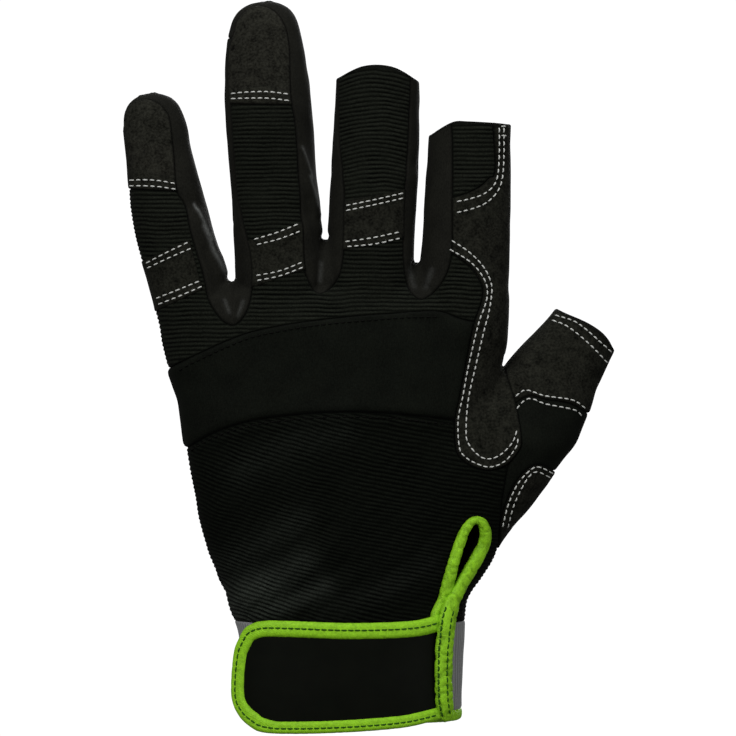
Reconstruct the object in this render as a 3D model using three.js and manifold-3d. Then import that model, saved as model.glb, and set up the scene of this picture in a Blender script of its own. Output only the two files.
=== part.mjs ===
// A mechanic glove for the left hand, filled as if it were worn: fingers up along +Z,
// the back of the hand towards -Y and the thumb towards +X. Millimetres.
// The origin is the middle of the wrist opening.
import * as THREE from 'three';
import Module from 'manifold-3d';
import { mergeVertices } from 'three/addons/utils/BufferGeometryUtils.js';

const wasm = await Module();
wasm.setup();

// Hand sizes
const PALM_LENGTH = 125;
const PALM_WIDTH = 108;
const PALM_DEPTH = 32;
const WRIST_WIDTH = 72;
const WRIST_DEPTH = 46;
const FINGER_CURL = 15;
const CURL_LENGTH = 125;
const THUMB_FORWARD = 14;

// Cloth sizes
const WALL = 1.2;
const SEAM_GAP = 0.3;
const PATCH_THICKNESS = 0.9;
const BAND_PADDING = 0.7;
const BINDING_RISE = 1.0;

// Cuff sizes
const CUFF_HEIGHT = 32.6;
const HEM_HEIGHT = 4;
const STRAND_WIDTH = 6.1;
const STRAND_ABOVE_CUFF = 6;
const STRAND_X = 32.2;
const SLIT_LENGTH = 26;
const SLIT_WIDTH = 17.6;
const STRAP_LENGTH = 65;
const STRAP_HEIGHT = 35;
const STRAP_TOP = 32;
const STRAP_SEAT = 1.9;
const STRAP_THICKNESS = 2;
const STRAP_BINDING_WIDTH = 4.6;
const STRAP_BINDING_RISE = 0.6;
const FASTENER_LENGTH = 42;
const FASTENER_HEIGHT = 20;

// Fingers. The root is a share of the palm's width and length, and a tilt leans to the left.
const FINGERS = {
  little: { root: [-0.43, 0.978], length: 80.3, width: 25, depth: 21.5, tilt: 12.4 },
  ring: { root: [-0.178, 1.0], length: 106.5, width: 28.8, depth: 24.5, tilt: 4 },
  middle: { root: [0.065, 1.0], length: 84.5, width: 28.2, depth: 24.5, tilt: -2 },
  index: { root: [0.338, 1.0], length: 67, width: 29.2, depth: 24.5, tilt: -3 },
  thumb: { root: [0.326, 0.517], length: 74.2, width: 37, depth: 30, tilt: -34.1 },
};

// Sections of each finger: along its length, sideways off its axis, width and depth
const SECTIONS = {
  little: [
    { along: 0, aside: 0, width: 1, depth: 1.1 },
    { along: 0.27, aside: 0, width: 1, depth: 1 },
    { along: 0.555, aside: 0, width: 0.94, depth: 0.95 },
    { along: 0.75, aside: 0, width: 0.83, depth: 0.86 },
    { along: 0.86, aside: 0, width: 0.79, depth: 0.8 },
    { along: 0.92, aside: 0, width: 0.7, depth: 0.7 },
    { along: 0.96, aside: 0, width: 0.55, depth: 0.55 },
    { along: 0.987, aside: 0, width: 0.32, depth: 0.32 },
    { along: 1, aside: 0, width: 0, depth: 0 },
  ],
  ring: [
    { along: 0, aside: 0, width: 1, depth: 1.1 },
    { along: 0.27, aside: 0, width: 1, depth: 1 },
    { along: 0.45, aside: 0, width: 0.95, depth: 0.96 },
    { along: 0.67, aside: 0, width: 0.95, depth: 0.93 },
    { along: 0.81, aside: 0, width: 0.86, depth: 0.85 },
    { along: 0.886, aside: 0, width: 0.78, depth: 0.77 },
    { along: 0.935, aside: 0, width: 0.67, depth: 0.67 },
    { along: 0.968, aside: 0, width: 0.52, depth: 0.52 },
    { along: 0.99, aside: 0, width: 0.3, depth: 0.3 },
    { along: 1, aside: 0, width: 0, depth: 0 },
  ],
  middle: [
    { along: 0, aside: 0, width: 1, depth: 1.1 },
    { along: 0.35, aside: 0, width: 1, depth: 1 },
    { along: 0.66, aside: 0, width: 0.985, depth: 0.94 },
    { along: 0.93, aside: 0, width: 0.94, depth: 0.9 },
    { along: 1.1, aside: 0, width: 0.93, depth: 0.89 },
  ],
  index: [
    { along: 0, aside: 0, width: 1, depth: 1.1 },
    { along: 0.38, aside: 0, width: 0.97, depth: 0.98 },
    { along: 0.62, aside: 0, width: 0.93, depth: 0.94 },
    { along: 0.93, aside: 0, width: 0.88, depth: 0.9 },
    { along: 1.1, aside: 0, width: 0.87, depth: 0.89 },
  ],
  thumb: [
    { along: 0, aside: 0, width: 0.93, depth: 1.05 },
    { along: 0.2, aside: -0.015, width: 0.95, depth: 1.06 },
    { along: 0.41, aside: -0.03, width: 1, depth: 1 },
    { along: 0.59, aside: 0.02, width: 0.905, depth: 0.88 },
    { along: 0.765, aside: 0.005, width: 0.78, depth: 0.78 },
    { along: 1, aside: 0, width: 0.605, depth: 0.67 },
    { along: 1.12, aside: 0, width: 0.6, depth: 0.66 },
  ],
};

// Open finger ends: across the finger, and how far the edge lies past or short of its length
const OPEN_ENDS = {
  middle: [[-1.25, -0.06], [-1, -0.05], [-0.5, -0.012], [0, 0], [0.5, -0.015], [1, -0.05], [1.25, -0.06]],
  index: [[-1.25, -0.085], [-1, -0.07], [-0.7, -0.03], [-0.4, -0.003], [0, 0], [1.25, 0]],
  thumb: [[-1.25, 0], [-0.8, 0.004], [0, 0.022], [0.6, 0.018], [1, -0.01], [1.25, -0.02]],
};

// Sections of the wrist, as shares of the palm's length and the wrist's width and depth
const WRIST_SECTIONS = [
  { up: -0.064, left: -0.486, right: 0.514, depth: 1 },
  { up: 0, left: -0.481, right: 0.519, depth: 1 },
  { up: 0.21, left: -0.467, right: 0.529, depth: 0.98 },
  { up: 0.31, left: -0.52, right: 0.542, depth: 0.98 },
];

// Sections of the palm, as shares of the palm's length, width and depth
const PALM_SECTIONS = [
  { up: 0.374, left: -0.376, right: 0.409, depth: 1.37 },
  { up: 0.435, left: -0.397, right: 0.447, depth: 1.33 },
  { up: 0.496, left: -0.42, right: 0.466, depth: 1.29 },
  { up: 0.616, left: -0.45, right: 0.463, depth: 1.2 },
  { up: 0.742, left: -0.48, right: 0.456, depth: 1.12 },
  { up: 0.864, left: -0.503, right: 0.458, depth: 1.05 },
  { up: 0.926, left: -0.53, right: 0.468, depth: 1.02 },
  { up: 0.988, left: -0.555, right: 0.474, depth: 1 },
  { up: 1.048, left: -0.555, right: 0.474, depth: 0.92 },
  { up: 1.096, left: -0.535, right: 0.472, depth: 0.72 },
  { up: 1.124, left: -0.51, right: 0.445, depth: 0.35 },
];

// Webs that close the forks between the fingers, as shares of the palm's width, length and depth
const WEBS = [
  { at: -0.335, top: 1.112, width: 0.17, depth: 0.5 },
  { at: -0.064, top: 1.235, width: 0.14, depth: 0.5 },
  { at: 0.206, top: 1.175, width: 0.17, depth: 0.5 },
];
const WEB_ROOT = 0.95;

// Seams across the back of the hand, as shares of the palm's width and length
const UPPER_SEAM = [
  [-0.7, 0.83], [-0.578, 0.881], [-0.459, 0.932], [-0.341, 0.978], [-0.246, 1.004],
  [-0.074, 1.029], [0.163, 1.047], [0.281, 1.05], [0.385, 1.024], [0.7, 0.99],
];
const LOWER_SEAM = [
  [-0.7, 0.6], [-0.548, 0.666], [-0.459, 0.707], [-0.385, 0.742], [-0.281, 0.771],
  [-0.133, 0.788], [0.015, 0.794], [0.163, 0.788], [0.326, 0.773], [0.7, 0.74],
];

// The suede saddle from the index finger over the thumb crotch, anticlockwise from its top
const SADDLE_EDGE = [
  [0.456, 1.75], [0.456, 1.426], [0.436, 1.385], [0.385, 1.352], [0.299, 1.331], [0.2, 1.325],
  [0.2, 1.21], [0.293, 1.208], [0.353, 1.178], [0.385, 1.152], [0.406, 1.119], [0.409, 1.091],
  [0.4, 1.06], [0.382, 1.016], [0.356, 0.906], [0.341, 0.837], [0.326, 0.773], [0.329, 0.704],
  [0.344, 0.676], [0.382, 0.653], [0.43, 0.645], [0.48, 0.66], [0.516, 0.699], [0.521, 0.727],
  [0.507, 0.812], [0.468, 0.924], [0.6, 1.05], [0.7, 1.75],
];
const THUMB_EDGE = [
  [0.4, 0.95], [0.507, 0.812], [0.521, 0.727], [0.483, 0.655], [0.468, 0.568], [0.459, 0.466],
  [0.43, 0.384], [0.6, 0.3], [1.2, 0.6], [1.2, 1.2], [0.6, 1.2],
];
const THUMB_MID_SEAM = [
  [0.3, 0.75], [0.459, 0.794], [0.504, 0.819], [0.548, 0.837], [0.593, 0.827], [0.679, 0.812],
  [0.785, 0.753], [0.9, 0.7],
];
const THUMB_PATCH_EDGE = [
  [0.42, 0.42], [0.459, 0.497], [0.48, 0.561], [0.507, 0.612], [0.539, 0.645], [0.572, 0.658],
  [0.625, 0.64], [0.8, 0.56], [0.8, 0.3], [0.42, 0.3],
];

// Side strips between two fingers: the fork of their seam on the back of the hand,
// and how far across each finger the seam runs
const FOURCHETTES = [
  { name: 'fourchette_little_ring', fork: [-0.335, 1.016], left: 'little', leftSeam: 0.38, right: 'ring', rightSeam: -0.74 },
  { name: 'fourchette_ring_middle', fork: [-0.074, 1.101], left: 'ring', leftSeam: 0.55, right: 'middle', rightSeam: -0.7 },
  { name: 'fourchette_middle_index', fork: [0.216, 1.08], left: 'middle', leftSeam: 0.7, right: 'index', rightSeam: -0.37 },
];

// Patches over the joints: stations along the finger, tilt of their ends in degrees, side edges
const PATCHES = [
  { name: 'patch_little', finger: 'little', from: 0.18, to: 0.385, tilt: 12, left: -1.3, right: 0.34 },
  { name: 'patch_ring', finger: 'ring', from: 0.16, to: 0.302, tilt: 15, left: -0.7, right: 0.51 },
  { name: 'patch_middle', finger: 'middle', from: 0.322, to: 0.507, tilt: 13, left: -0.66, right: 0.66 },
];
const CAPS = [
  { name: 'cap_little', finger: 'little', from: 0.64, tilt: -8 },
  { name: 'cap_ring', finger: 'ring', from: 0.705, tilt: -2 },
];

const PALM_CREASES = [
  { name: 'little_palm', finger: 'little', from: 0.15 },
  { name: 'ring_palm', finger: 'ring', from: 0.15 },
  { name: 'middle_palm', finger: 'middle', from: 0.17 },
  { name: 'index_palm', finger: 'index', from: 0.2 },
];

// Tab outline, as shares of its length to the left and its height downwards
const STRAP_EDGE = [
  [0, 0.06], [0.13, 0.015], [0.42, 0], [0.7, 0], [0.86, 0.015], [0.93, 0.07], [0.975, 0.19],
  [1, 0.37], [1, 0.63], [0.97, 0.83], [0.91, 0.95], [0.82, 1], [0.52, 0.99], [0.18, 0.94], [0, 0.89],
];

// Teardrop slit: its bound edge and its hole, as shares of its width to the right of
// the strand's left edge and of its length above the strand's top
const SLIT_EDGE = [
  [0, 0], [0.02, 0.11], [0.16, 0.47], [0.45, 0.83], [0.72, 1], [0.93, 0.9], [1, 0.76],
  [0.93, 0.52], [0.71, 0.21], [0.47, 0.06], [0.36, 0],
];
const SLIT_HOLE = [
  [0.35, 0.25], [0.36, 0.4], [0.53, 0.72], [0.69, 0.86], [0.78, 0.74], [0.67, 0.48],
];

const SIDES = { hand: 28, finger: 14, web: 10 };
const SQUARENESS = { hand: 2.5, finger: 2.25, web: 2.2 };
const REACH = 320;
const END_REACH = 0.56;

const LOOKS = {
  ribbed: { color: 0x17191a, roughness: 0.85 },
  smooth: { color: 0x121313, roughness: 0.8 },
  suede: { color: 0x242424, roughness: 0.95 },
  grey: { color: 0x76777a, roughness: 0.85 },
  lime: { color: 0x86d40c, roughness: 0.6 },
  rubber: { color: 0x1d1b1b, roughness: 0.6 },
};

const glove = new THREE.Group();

// How far the seam between the back and the palm side lies towards the palm
function seamDepth(x, z) {
  const above = Math.max(0, z - 0.85 * PALM_LENGTH) / CURL_LENGTH;
  const out = THREE.MathUtils.smoothstep(x, 0.46 * PALM_WIDTH, 0.79 * PALM_WIDTH);
  return FINGER_CURL * above * above + THUMB_FORWARD * out;
}

function onPalm([across, up]) {
  return [across * PALM_WIDTH, up * PALM_LENGTH];
}

// A point beside a finger's axis, by its station along it and a share of its widest section
function besideAxis(name, along, aside) {
  const finger = FINGERS[name];
  const lean = THREE.MathUtils.degToRad(finger.tilt);
  const [rootX, rootZ] = onPalm(finger.root);
  const out = along * finger.length;
  return [
    rootX - Math.sin(lean) * out + Math.cos(lean) * aside * finger.width,
    rootZ + Math.cos(lean) * out + Math.sin(lean) * aside * finger.width,
  ];
}

// A point of a finger, by its station along it and its share across it
function onFinger(name, along, across) {
  const rows = SECTIONS[name];
  const next = rows.findIndex((row) => row.along >= along);
  const above = rows[next < 1 ? rows.length - 1 : next];
  const below = rows[next < 1 ? rows.length - 2 : next - 1];
  const share = next === 0 ? 1 : (along - below.along) / (above.along - below.along);
  const width = Math.max(0, below.width + (above.width - below.width) * share);
  const aside = below.aside + (above.aside - below.aside) * share + (across * width) / 2;
  return besideAxis(name, along, aside);
}

// A closed body through rows of { center, across, halfWidth, halfDepth, up }, grown by a margin
function loft(rows, sides, squareness, grow) {
  const points = [];
  const faces = [];
  rows.forEach((row, index) => {
    const before = rows[Math.max(0, index - 1)];
    const after = rows[Math.min(rows.length - 1, index + 1)];
    const run = before.center.distanceTo(after.center);
    const slope = index === 0 ? 0 : Math.atan2(before.halfDepth - after.halfDepth, run);
    const tip = row.halfWidth < 0.01;
    const push = tip ? grow : grow * Math.sin(Math.max(0, slope));
    const side = tip ? 0 : grow * Math.cos(slope);
    const center = row.center.clone().addScaledVector(row.up, push);
    const halfWidth = Math.max(0.05, row.halfWidth + side);
    const halfDepth = Math.max(0.05, row.halfDepth + side);
    for (let step = 0; step < sides; step += 1) {
      const angle = (2 * Math.PI * (step + 0.5)) / sides;
      const c = Math.cos(angle);
      const s = Math.sin(angle);
      const wide = Math.sign(c) * Math.abs(c) ** (2 / squareness) * halfWidth;
      const deep = Math.sign(s) * Math.abs(s) ** (2 / squareness) * halfDepth;
      const point = center.clone().addScaledVector(row.across, wide);
      points.push(point.x, point.y - deep, point.z);
    }
  });
  for (let ring = 0; ring + 1 < rows.length; ring += 1) {
    for (let step = 0; step < sides; step += 1) {
      const next = (step + 1) % sides;
      const a = ring * sides + step;
      const b = ring * sides + next;
      const c = a + sides;
      const d = b + sides;
      faces.push(a, d, b, a, c, d);
    }
  }
  const last = (rows.length - 1) * sides;
  for (let step = 1; step + 1 < sides; step += 1) {
    faces.push(0, step, step + 1);
    faces.push(last, last + step + 1, last + step);
  }
  const geometry = new THREE.BufferGeometry();
  geometry.setAttribute('position', new THREE.Float32BufferAttribute(points, 3));
  geometry.setIndex(faces);
  return toSolid(geometry);
}

function toSolid(geometry) {
  const bare = geometry.clone();
  bare.deleteAttribute('normal');
  bare.deleteAttribute('uv');
  const merged = mergeVertices(bare, 1e-5);
  const solid = new wasm.Manifold(new wasm.Mesh({
    numProp: 3,
    vertProperties: new Float32Array(merged.attributes.position.array),
    triVerts: new Uint32Array(merged.index.array),
  }));
  return solid;
}

function fingerForm(name, grow) {
  const finger = FINGERS[name];
  const lean = THREE.MathUtils.degToRad(finger.tilt);
  const up = new THREE.Vector3(-Math.sin(lean), 0, Math.cos(lean));
  const across = new THREE.Vector3(Math.cos(lean), 0, Math.sin(lean));
  const rows = SECTIONS[name].map((row) => {
    const [x, z] = onFinger(name, row.along, 0);
    return {
      center: new THREE.Vector3(x, seamDepth(x, z), z),
      across,
      up,
      halfWidth: (row.width * finger.width) / 2,
      halfDepth: (row.depth * finger.depth) / 2,
    };
  });
  return loft(rows, SIDES.finger, SQUARENESS.finger, grow);
}

function handRow(up, left, right, depth) {
  return {
    center: new THREE.Vector3((left + right) / 2, seamDepth(0, up), up),
    across: new THREE.Vector3(1, 0, 0),
    up: new THREE.Vector3(0, 0, 1),
    halfWidth: (right - left) / 2,
    halfDepth: depth / 2,
  };
}

function handForm(grow) {
  const wrist = WRIST_SECTIONS.map((row) => handRow(
    row.up * PALM_LENGTH, row.left * WRIST_WIDTH, row.right * WRIST_WIDTH, row.depth * WRIST_DEPTH));
  const palm = PALM_SECTIONS.map((row) => handRow(
    row.up * PALM_LENGTH, row.left * PALM_WIDTH, row.right * PALM_WIDTH, row.depth * PALM_DEPTH));
  return loft([...wrist, ...palm], SIDES.hand, SQUARENESS.hand, grow);
}

function webForm(web, grow) {
  const [x, top] = onPalm([web.at, web.top]);
  const bottom = WEB_ROOT * PALM_LENGTH;
  const halfWidth = (web.width * PALM_WIDTH) / 2;
  const halfDepth = (web.depth * PALM_DEPTH) / 2;
  const rows = [[0, 1.4], [0.5, 1.2], [0.8, 0.9], [0.93, 0.6], [1, 0.25]].map(([share, thick]) => {
    const z = bottom + (top - bottom) * share;
    return {
      center: new THREE.Vector3(x, seamDepth(0, z), z),
      across: new THREE.Vector3(1, 0, 0),
      up: new THREE.Vector3(0, 0, 1),
      halfWidth,
      halfDepth: halfDepth * thick,
    };
  });
  return loft(rows, SIDES.web, SQUARENESS.web, grow);
}

const forms = new Map();

// The whole filled form, grown by a margin or shrunk by a negative one
function form(grow) {
  if (!forms.has(grow)) {
    let whole = handForm(grow);
    for (const name of Object.keys(FINGERS)) whole = whole.add(fingerForm(name, grow));
    for (const web of WEBS) whole = whole.add(webForm(web, grow));
    forms.set(grow, whole);
  }
  return forms.get(grow);
}

// A layer of cloth over the form, between two margins
function layer(inner, outer) {
  return form(outer).subtract(form(inner));
}

// An outline in the plane of the hand, moved outwards by a margin at every point
function growOutline(outline, grow) {
  const turn = THREE.ShapeUtils.area(outline.map(([x, z]) => new THREE.Vector2(x, z))) > 0 ? 1 : -1;
  return outline.map(([x, z], index) => {
    const here = new THREE.Vector2(x, z);
    const before = new THREE.Vector2(...outline.at(index - 1));
    const after = new THREE.Vector2(...outline[(index + 1) % outline.length]);
    const first = here.clone().sub(before).normalize();
    const second = after.sub(here).normalize();
    const normal = new THREE.Vector2(first.y + second.y, -first.x - second.x).normalize();
    const mitre = grow * turn / Math.max(0.4, Math.sqrt((1 + first.dot(second)) / 2));
    return [x + normal.x * mitre, z + normal.y * mitre];
  });
}

// A prism right through the hand, from back to palm
function prism(outline, grow = 0) {
  const shape = new THREE.Shape(growOutline(outline, grow).map(([x, z]) => new THREE.Vector2(x, z)));
  const geometry = new THREE.ExtrudeGeometry(shape, { depth: REACH, bevelEnabled: false });
  geometry.rotateX(Math.PI / 2);
  geometry.translate(0, REACH / 2, 0);
  return toSolid(geometry);
}

// All that lies on the back of the hand from the side seam, moved by a margin towards the palm
function backHalf(shift) {
  const cells = 14;
  const box = new THREE.BoxGeometry(REACH, REACH, REACH, cells, 1, cells);
  const place = box.attributes.position;
  for (let index = 0; index < place.count; index += 1) {
    const x = place.getX(index);
    const z = place.getZ(index) + REACH / 4;
    place.setZ(index, z);
    if (place.getY(index) > 0) place.setY(index, seamDepth(x, z) + shift);
  }
  return toSolid(box);
}

// A curve through a table of points on the back of the hand
function smooth(points, steps) {
  const curve = new THREE.SplineCurve(points.map(([x, z]) => new THREE.Vector2(x, z)));
  return curve.getPoints(steps).map((point) => [point.x, point.y]);
}

function slab(bottom, top) {
  return prism([[-REACH / 2, bottom], [REACH / 2, bottom], [REACH / 2, top], [-REACH / 2, top]]);
}

// Parts a solid along an outline, with the seam's gap between the two pieces
function part(solid, outline) {
  const inside = solid.intersect(prism(outline, -SEAM_GAP / 2));
  const outside = solid.subtract(prism(outline, SEAM_GAP / 2));
  return [inside, outside];
}

// The largest body of a cut, without the slivers beside it
function mainBody(solid) {
  const bodies = solid.decompose();
  return bodies.reduce((best, body) => (body.volume() > best.volume() ? body : best));
}

function addPiece(name, solid, look) {
  const mesh = mainBody(solid).getMesh();
  const geometry = new THREE.BufferGeometry();
  geometry.setAttribute('position', new THREE.Float32BufferAttribute(mesh.vertProperties, 3));
  geometry.setIndex([...mesh.triVerts]);
  const material = new THREE.MeshStandardMaterial({ ...LOOKS[look], metalness: 0 });
  const piece = new THREE.Mesh(geometry, material);
  piece.name = name;
  glove.add(piece);
}

// The open ends of middle finger, index finger and thumb, as prisms of what lies past them
function endCutter(name) {
  const edge = OPEN_ENDS[name].map(([across, past]) => onFinger(name, 1 + past, across));
  const far = [onFinger(name, 1.6, 1.25), onFinger(name, 1.6, -1.25)];
  return prism([...edge, ...far]);
}

function fourchetteOutline(strip) {
  const stations = [0.16, 0.3, 0.45, 0.6, 0.75, 0.86, 0.93, 0.97, 1, 1.09];
  const seam = (finger, across) => stations
    .filter((along) => along <= SECTIONS[finger].at(-1).along)
    .map((along) => onFinger(finger, along, across));
  const left = seam(strip.left, strip.leftSeam);
  const right = seam(strip.right, strip.rightSeam);
  const over = Math.max(left.at(-1)[1], right.at(-1)[1]) + FINGERS.ring.width;
  const top = [[right.at(-1)[0], over], [left.at(-1)[0], over]];
  return [onPalm(strip.fork), ...right, ...top, ...left.reverse()];
}

function patchOutline(patch) {
  const finger = FINGERS[patch.finger];
  const lift = (Math.tan(THREE.MathUtils.degToRad(patch.tilt)) * finger.width) / finger.length / 2;
  return [
    onFinger(patch.finger, patch.from + lift * patch.left, patch.left),
    onFinger(patch.finger, patch.from + lift * patch.right, patch.right),
    onFinger(patch.finger, patch.to + lift * patch.right, patch.right),
    onFinger(patch.finger, patch.to + lift * patch.left, patch.left),
  ];
}

// The end of a finger past a station, reaching just beside it
function endOutline(name, from, tilt = 0) {
  const finger = FINGERS[name];
  const lift = (Math.tan(THREE.MathUtils.degToRad(tilt)) * finger.width * END_REACH) / finger.length;
  return [
    besideAxis(name, from - lift, -END_REACH),
    besideAxis(name, from + lift, END_REACH),
    besideAxis(name, 1.3, END_REACH),
    besideAxis(name, 1.3, -END_REACH),
  ];
}

const strandLeft = STRAND_X - STRAND_WIDTH / 2;
const strandRight = STRAND_X + STRAND_WIDTH / 2;
const strandTop = CUFF_HEIGHT + STRAND_ABOVE_CUFF;
const strand = [
  [strandLeft, strandTop], [strandRight, strandTop + 1], [strandRight, 5],
  [strandRight + 1, 2], [strandRight - 1, 0], [strandLeft + 1, 0], [strandLeft, 2],
];

function onSlit([across, up]) {
  return [strandLeft + across * SLIT_WIDTH, strandTop + up * SLIT_LENGTH];
}

function onStrap([left, down]) {
  return [strandLeft - SEAM_GAP - left * STRAP_LENGTH, STRAP_TOP - (down - 0.06) * STRAP_HEIGHT];
}

// The walls of the glove, open at the wrist and at three fingers
const pastEnds = endCutter('middle').add(endCutter('index')).add(endCutter('thumb'));
const openForm = form(-WALL);
const shell = form(0).subtract(openForm).subtract(pastEnds).intersect(slab(0, REACH));

// The cuff, cut off all round at its height
const cuffRing = shell.intersect(slab(0, CUFF_HEIGHT - SEAM_GAP / 2));
const hand = shell.intersect(slab(CUFF_HEIGHT + SEAM_GAP / 2, REACH));

// The strips between the fingers go from the back to the palm side
let rest = hand;
for (const strip of FOURCHETTES) {
  const [piece, others] = part(rest, fourchetteOutline(strip));
  addPiece(strip.name, piece, 'smooth');
  rest = others;
}

// Palm side and back part at the side seam, and the palm side parts again at the roots of the fingers
const back = rest.intersect(backHalf(-SEAM_GAP / 2));
const [thumbPalm, hollowHand] = part(rest.subtract(backHalf(SEAM_GAP / 2)), THUMB_EDGE.map(onPalm));
addPiece('thumb_palm', thumbPalm, 'suede');
let palm = hollowHand;
for (const crease of PALM_CREASES) {
  const [fingerPalm, below] = part(palm, endOutline(crease.finger, crease.from));
  addPiece(crease.name, fingerPalm, 'suede');
  palm = below;
}
addPiece('palm', palm, 'suede');

// Panels of the back
const slitEdge = SLIT_EDGE.map(onSlit);
const opened = back.subtract(prism(slitEdge, SEAM_GAP)).subtract(prism(strand, SEAM_GAP));
const [saddle, besideSaddle] = part(opened, SADDLE_EDGE.map(onPalm));
addPiece('index_saddle', saddle, 'suede');

const [thumb, besideThumb] = part(besideSaddle, THUMB_EDGE.map(onPalm));
const [thumbPatch, thumbRest] = part(thumb, THUMB_PATCH_EDGE.map(onPalm));
const thumbTop = [...smooth(THUMB_MID_SEAM.map(onPalm), 10), [REACH / 2, 70], [REACH / 2, 180], [30, 180]];
const [thumbUpper, thumbLower] = part(thumbRest, thumbTop);
addPiece('thumb_upper', thumbUpper, 'suede');
addPiece('thumb_lower', thumbLower, 'smooth');
addPiece('thumb_base_patch', thumbPatch, 'suede');

let backs = besideThumb;
for (const cap of CAPS) {
  const [tip, below] = part(backs, endOutline(cap.finger, cap.from, cap.tilt));
  addPiece(cap.name, tip, 'suede');
  backs = below;
}
const belowBand = [...smooth(LOWER_SEAM.map(onPalm), 12), [REACH / 2, -20], [-REACH / 2, -20]];
const aboveBand = [...smooth(UPPER_SEAM.map(onPalm), 12), [REACH / 2, REACH], [-REACH / 2, REACH]];
const [lower, upperAndBand] = part(backs, belowBand);
const [upper, band] = part(upperAndBand, aboveBand);
addPiece('back_lower', lower, 'ribbed');

// The end of the index finger is cut off from the back by the saddle's bridge
const [indexBack, upperBack] = part(upper, endOutline('index', 0.6));
addPiece('index_back', indexBack, 'ribbed');
addPiece('back_upper', upperBack, 'ribbed');

// The padded band stands out a little over the cloth
const bandOutline = [...smooth(LOWER_SEAM.map(onPalm), 12), ...smooth(UPPER_SEAM.map(onPalm), 12).reverse()];
const padding = layer(-WALL / 2, BAND_PADDING)
  .intersect(backHalf(-SEAM_GAP / 2))
  .intersect(prism(bandOutline, -SEAM_GAP / 2))
  .subtract(prism(SADDLE_EDGE.map(onPalm), SEAM_GAP / 2))
  .subtract(prism(THUMB_EDGE.map(onPalm), SEAM_GAP / 2));
addPiece('knuckle_band', band.add(padding), 'smooth');

// Patches sewn on over the joints
for (const patch of PATCHES) {
  const cloth = layer(SEAM_GAP, SEAM_GAP + PATCH_THICKNESS).intersect(backHalf(-SEAM_GAP / 2));
  addPiece(patch.name, cloth.intersect(prism(patchOutline(patch))), 'suede');
}

// The cuff band is open on the back where the slit's binding runs down
const frontStrand = prism(strand, SEAM_GAP).intersect(backHalf(0));
const hemSlab = slab(-BINDING_RISE, HEM_HEIGHT);
addPiece('cuff_band', cuffRing.subtract(slab(-1, HEM_HEIGHT + SEAM_GAP)).subtract(frontStrand), 'grey');
const hemCloth = layer(-WALL - BINDING_RISE / 2, BINDING_RISE).intersect(hemSlab);
addPiece('hem_binding', hemCloth.subtract(frontStrand), 'lime');

// The binding round the slit, thicker where it also holds the end of the tab
const bindingLoop = layer(-WALL - BINDING_RISE / 2, BINDING_RISE)
  .intersect(prism(slitEdge).subtract(prism(SLIT_HOLE.map(onSlit))));
const strandRise = STRAP_SEAT + STRAP_THICKNESS + STRAP_BINDING_RISE;
const bindingStrand = layer(-WALL - BINDING_RISE / 2, strandRise).intersect(prism(strand));
addPiece('slit_binding', bindingLoop.add(bindingStrand).intersect(backHalf(-SEAM_GAP / 2)), 'lime');

// The closing tab, its binding and the pad that holds it
const strapEdge = STRAP_EDGE.map(onStrap);
const openEdge = STRAP_EDGE.map(([left, down]) => onStrap([left === 0 ? -0.3 : left, down]));
const inside = prism(openEdge, -STRAP_BINDING_WIDTH);
const strapBack = backHalf(-SEAM_GAP / 2).intersect(prism(strapEdge));
const strapSolid = layer(STRAP_SEAT, STRAP_SEAT + STRAP_THICKNESS)
  .intersect(strapBack)
  .intersect(prism(openEdge, -STRAP_BINDING_WIDTH - SEAM_GAP));
addPiece('strap', strapSolid, 'rubber');
const strapBound = layer(STRAP_SEAT - STRAP_BINDING_RISE, strandRise).intersect(strapBack).subtract(inside);
addPiece('strap_binding', strapBound, 'lime');
const fastenerMiddle = onStrap([0.5, 0.5]);
const [halfLength, halfHeight] = [FASTENER_LENGTH / 2, FASTENER_HEIGHT / 2];
const fastener = [[-1, -1], [1, -1], [1, 1], [-1, 1]].map(([a, b]) => [
  fastenerMiddle[0] + a * halfLength, fastenerMiddle[1] + b * halfHeight]);
const pad = layer(SEAM_GAP, STRAP_SEAT - SEAM_GAP).intersect(backHalf(-SEAM_GAP / 2)).intersect(prism(fastener));
addPiece('strap_fastener', pad, 'rubber');

export default glove;
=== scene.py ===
import math

import bpy
import numpy as np
import openvdb as vdb
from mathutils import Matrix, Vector
from mathutils.bvhtree import BVHTree
from mathutils.kdtree import KDTree


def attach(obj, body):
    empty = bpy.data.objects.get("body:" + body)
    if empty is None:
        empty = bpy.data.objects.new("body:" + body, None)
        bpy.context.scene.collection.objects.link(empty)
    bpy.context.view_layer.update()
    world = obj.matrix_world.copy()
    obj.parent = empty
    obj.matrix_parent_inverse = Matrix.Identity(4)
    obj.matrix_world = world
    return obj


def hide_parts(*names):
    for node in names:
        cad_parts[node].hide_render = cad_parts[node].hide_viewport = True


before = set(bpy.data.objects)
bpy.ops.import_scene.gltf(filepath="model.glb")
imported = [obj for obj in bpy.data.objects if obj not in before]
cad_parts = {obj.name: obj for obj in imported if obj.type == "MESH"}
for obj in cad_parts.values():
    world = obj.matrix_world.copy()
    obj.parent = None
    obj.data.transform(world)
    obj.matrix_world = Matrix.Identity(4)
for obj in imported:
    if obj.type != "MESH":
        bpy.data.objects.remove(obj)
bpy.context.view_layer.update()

# The glove is worked out in millimetres, in the frame of the CAD model, and made in metres.
MM = 0.001
VOXEL = 1.03

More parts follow.
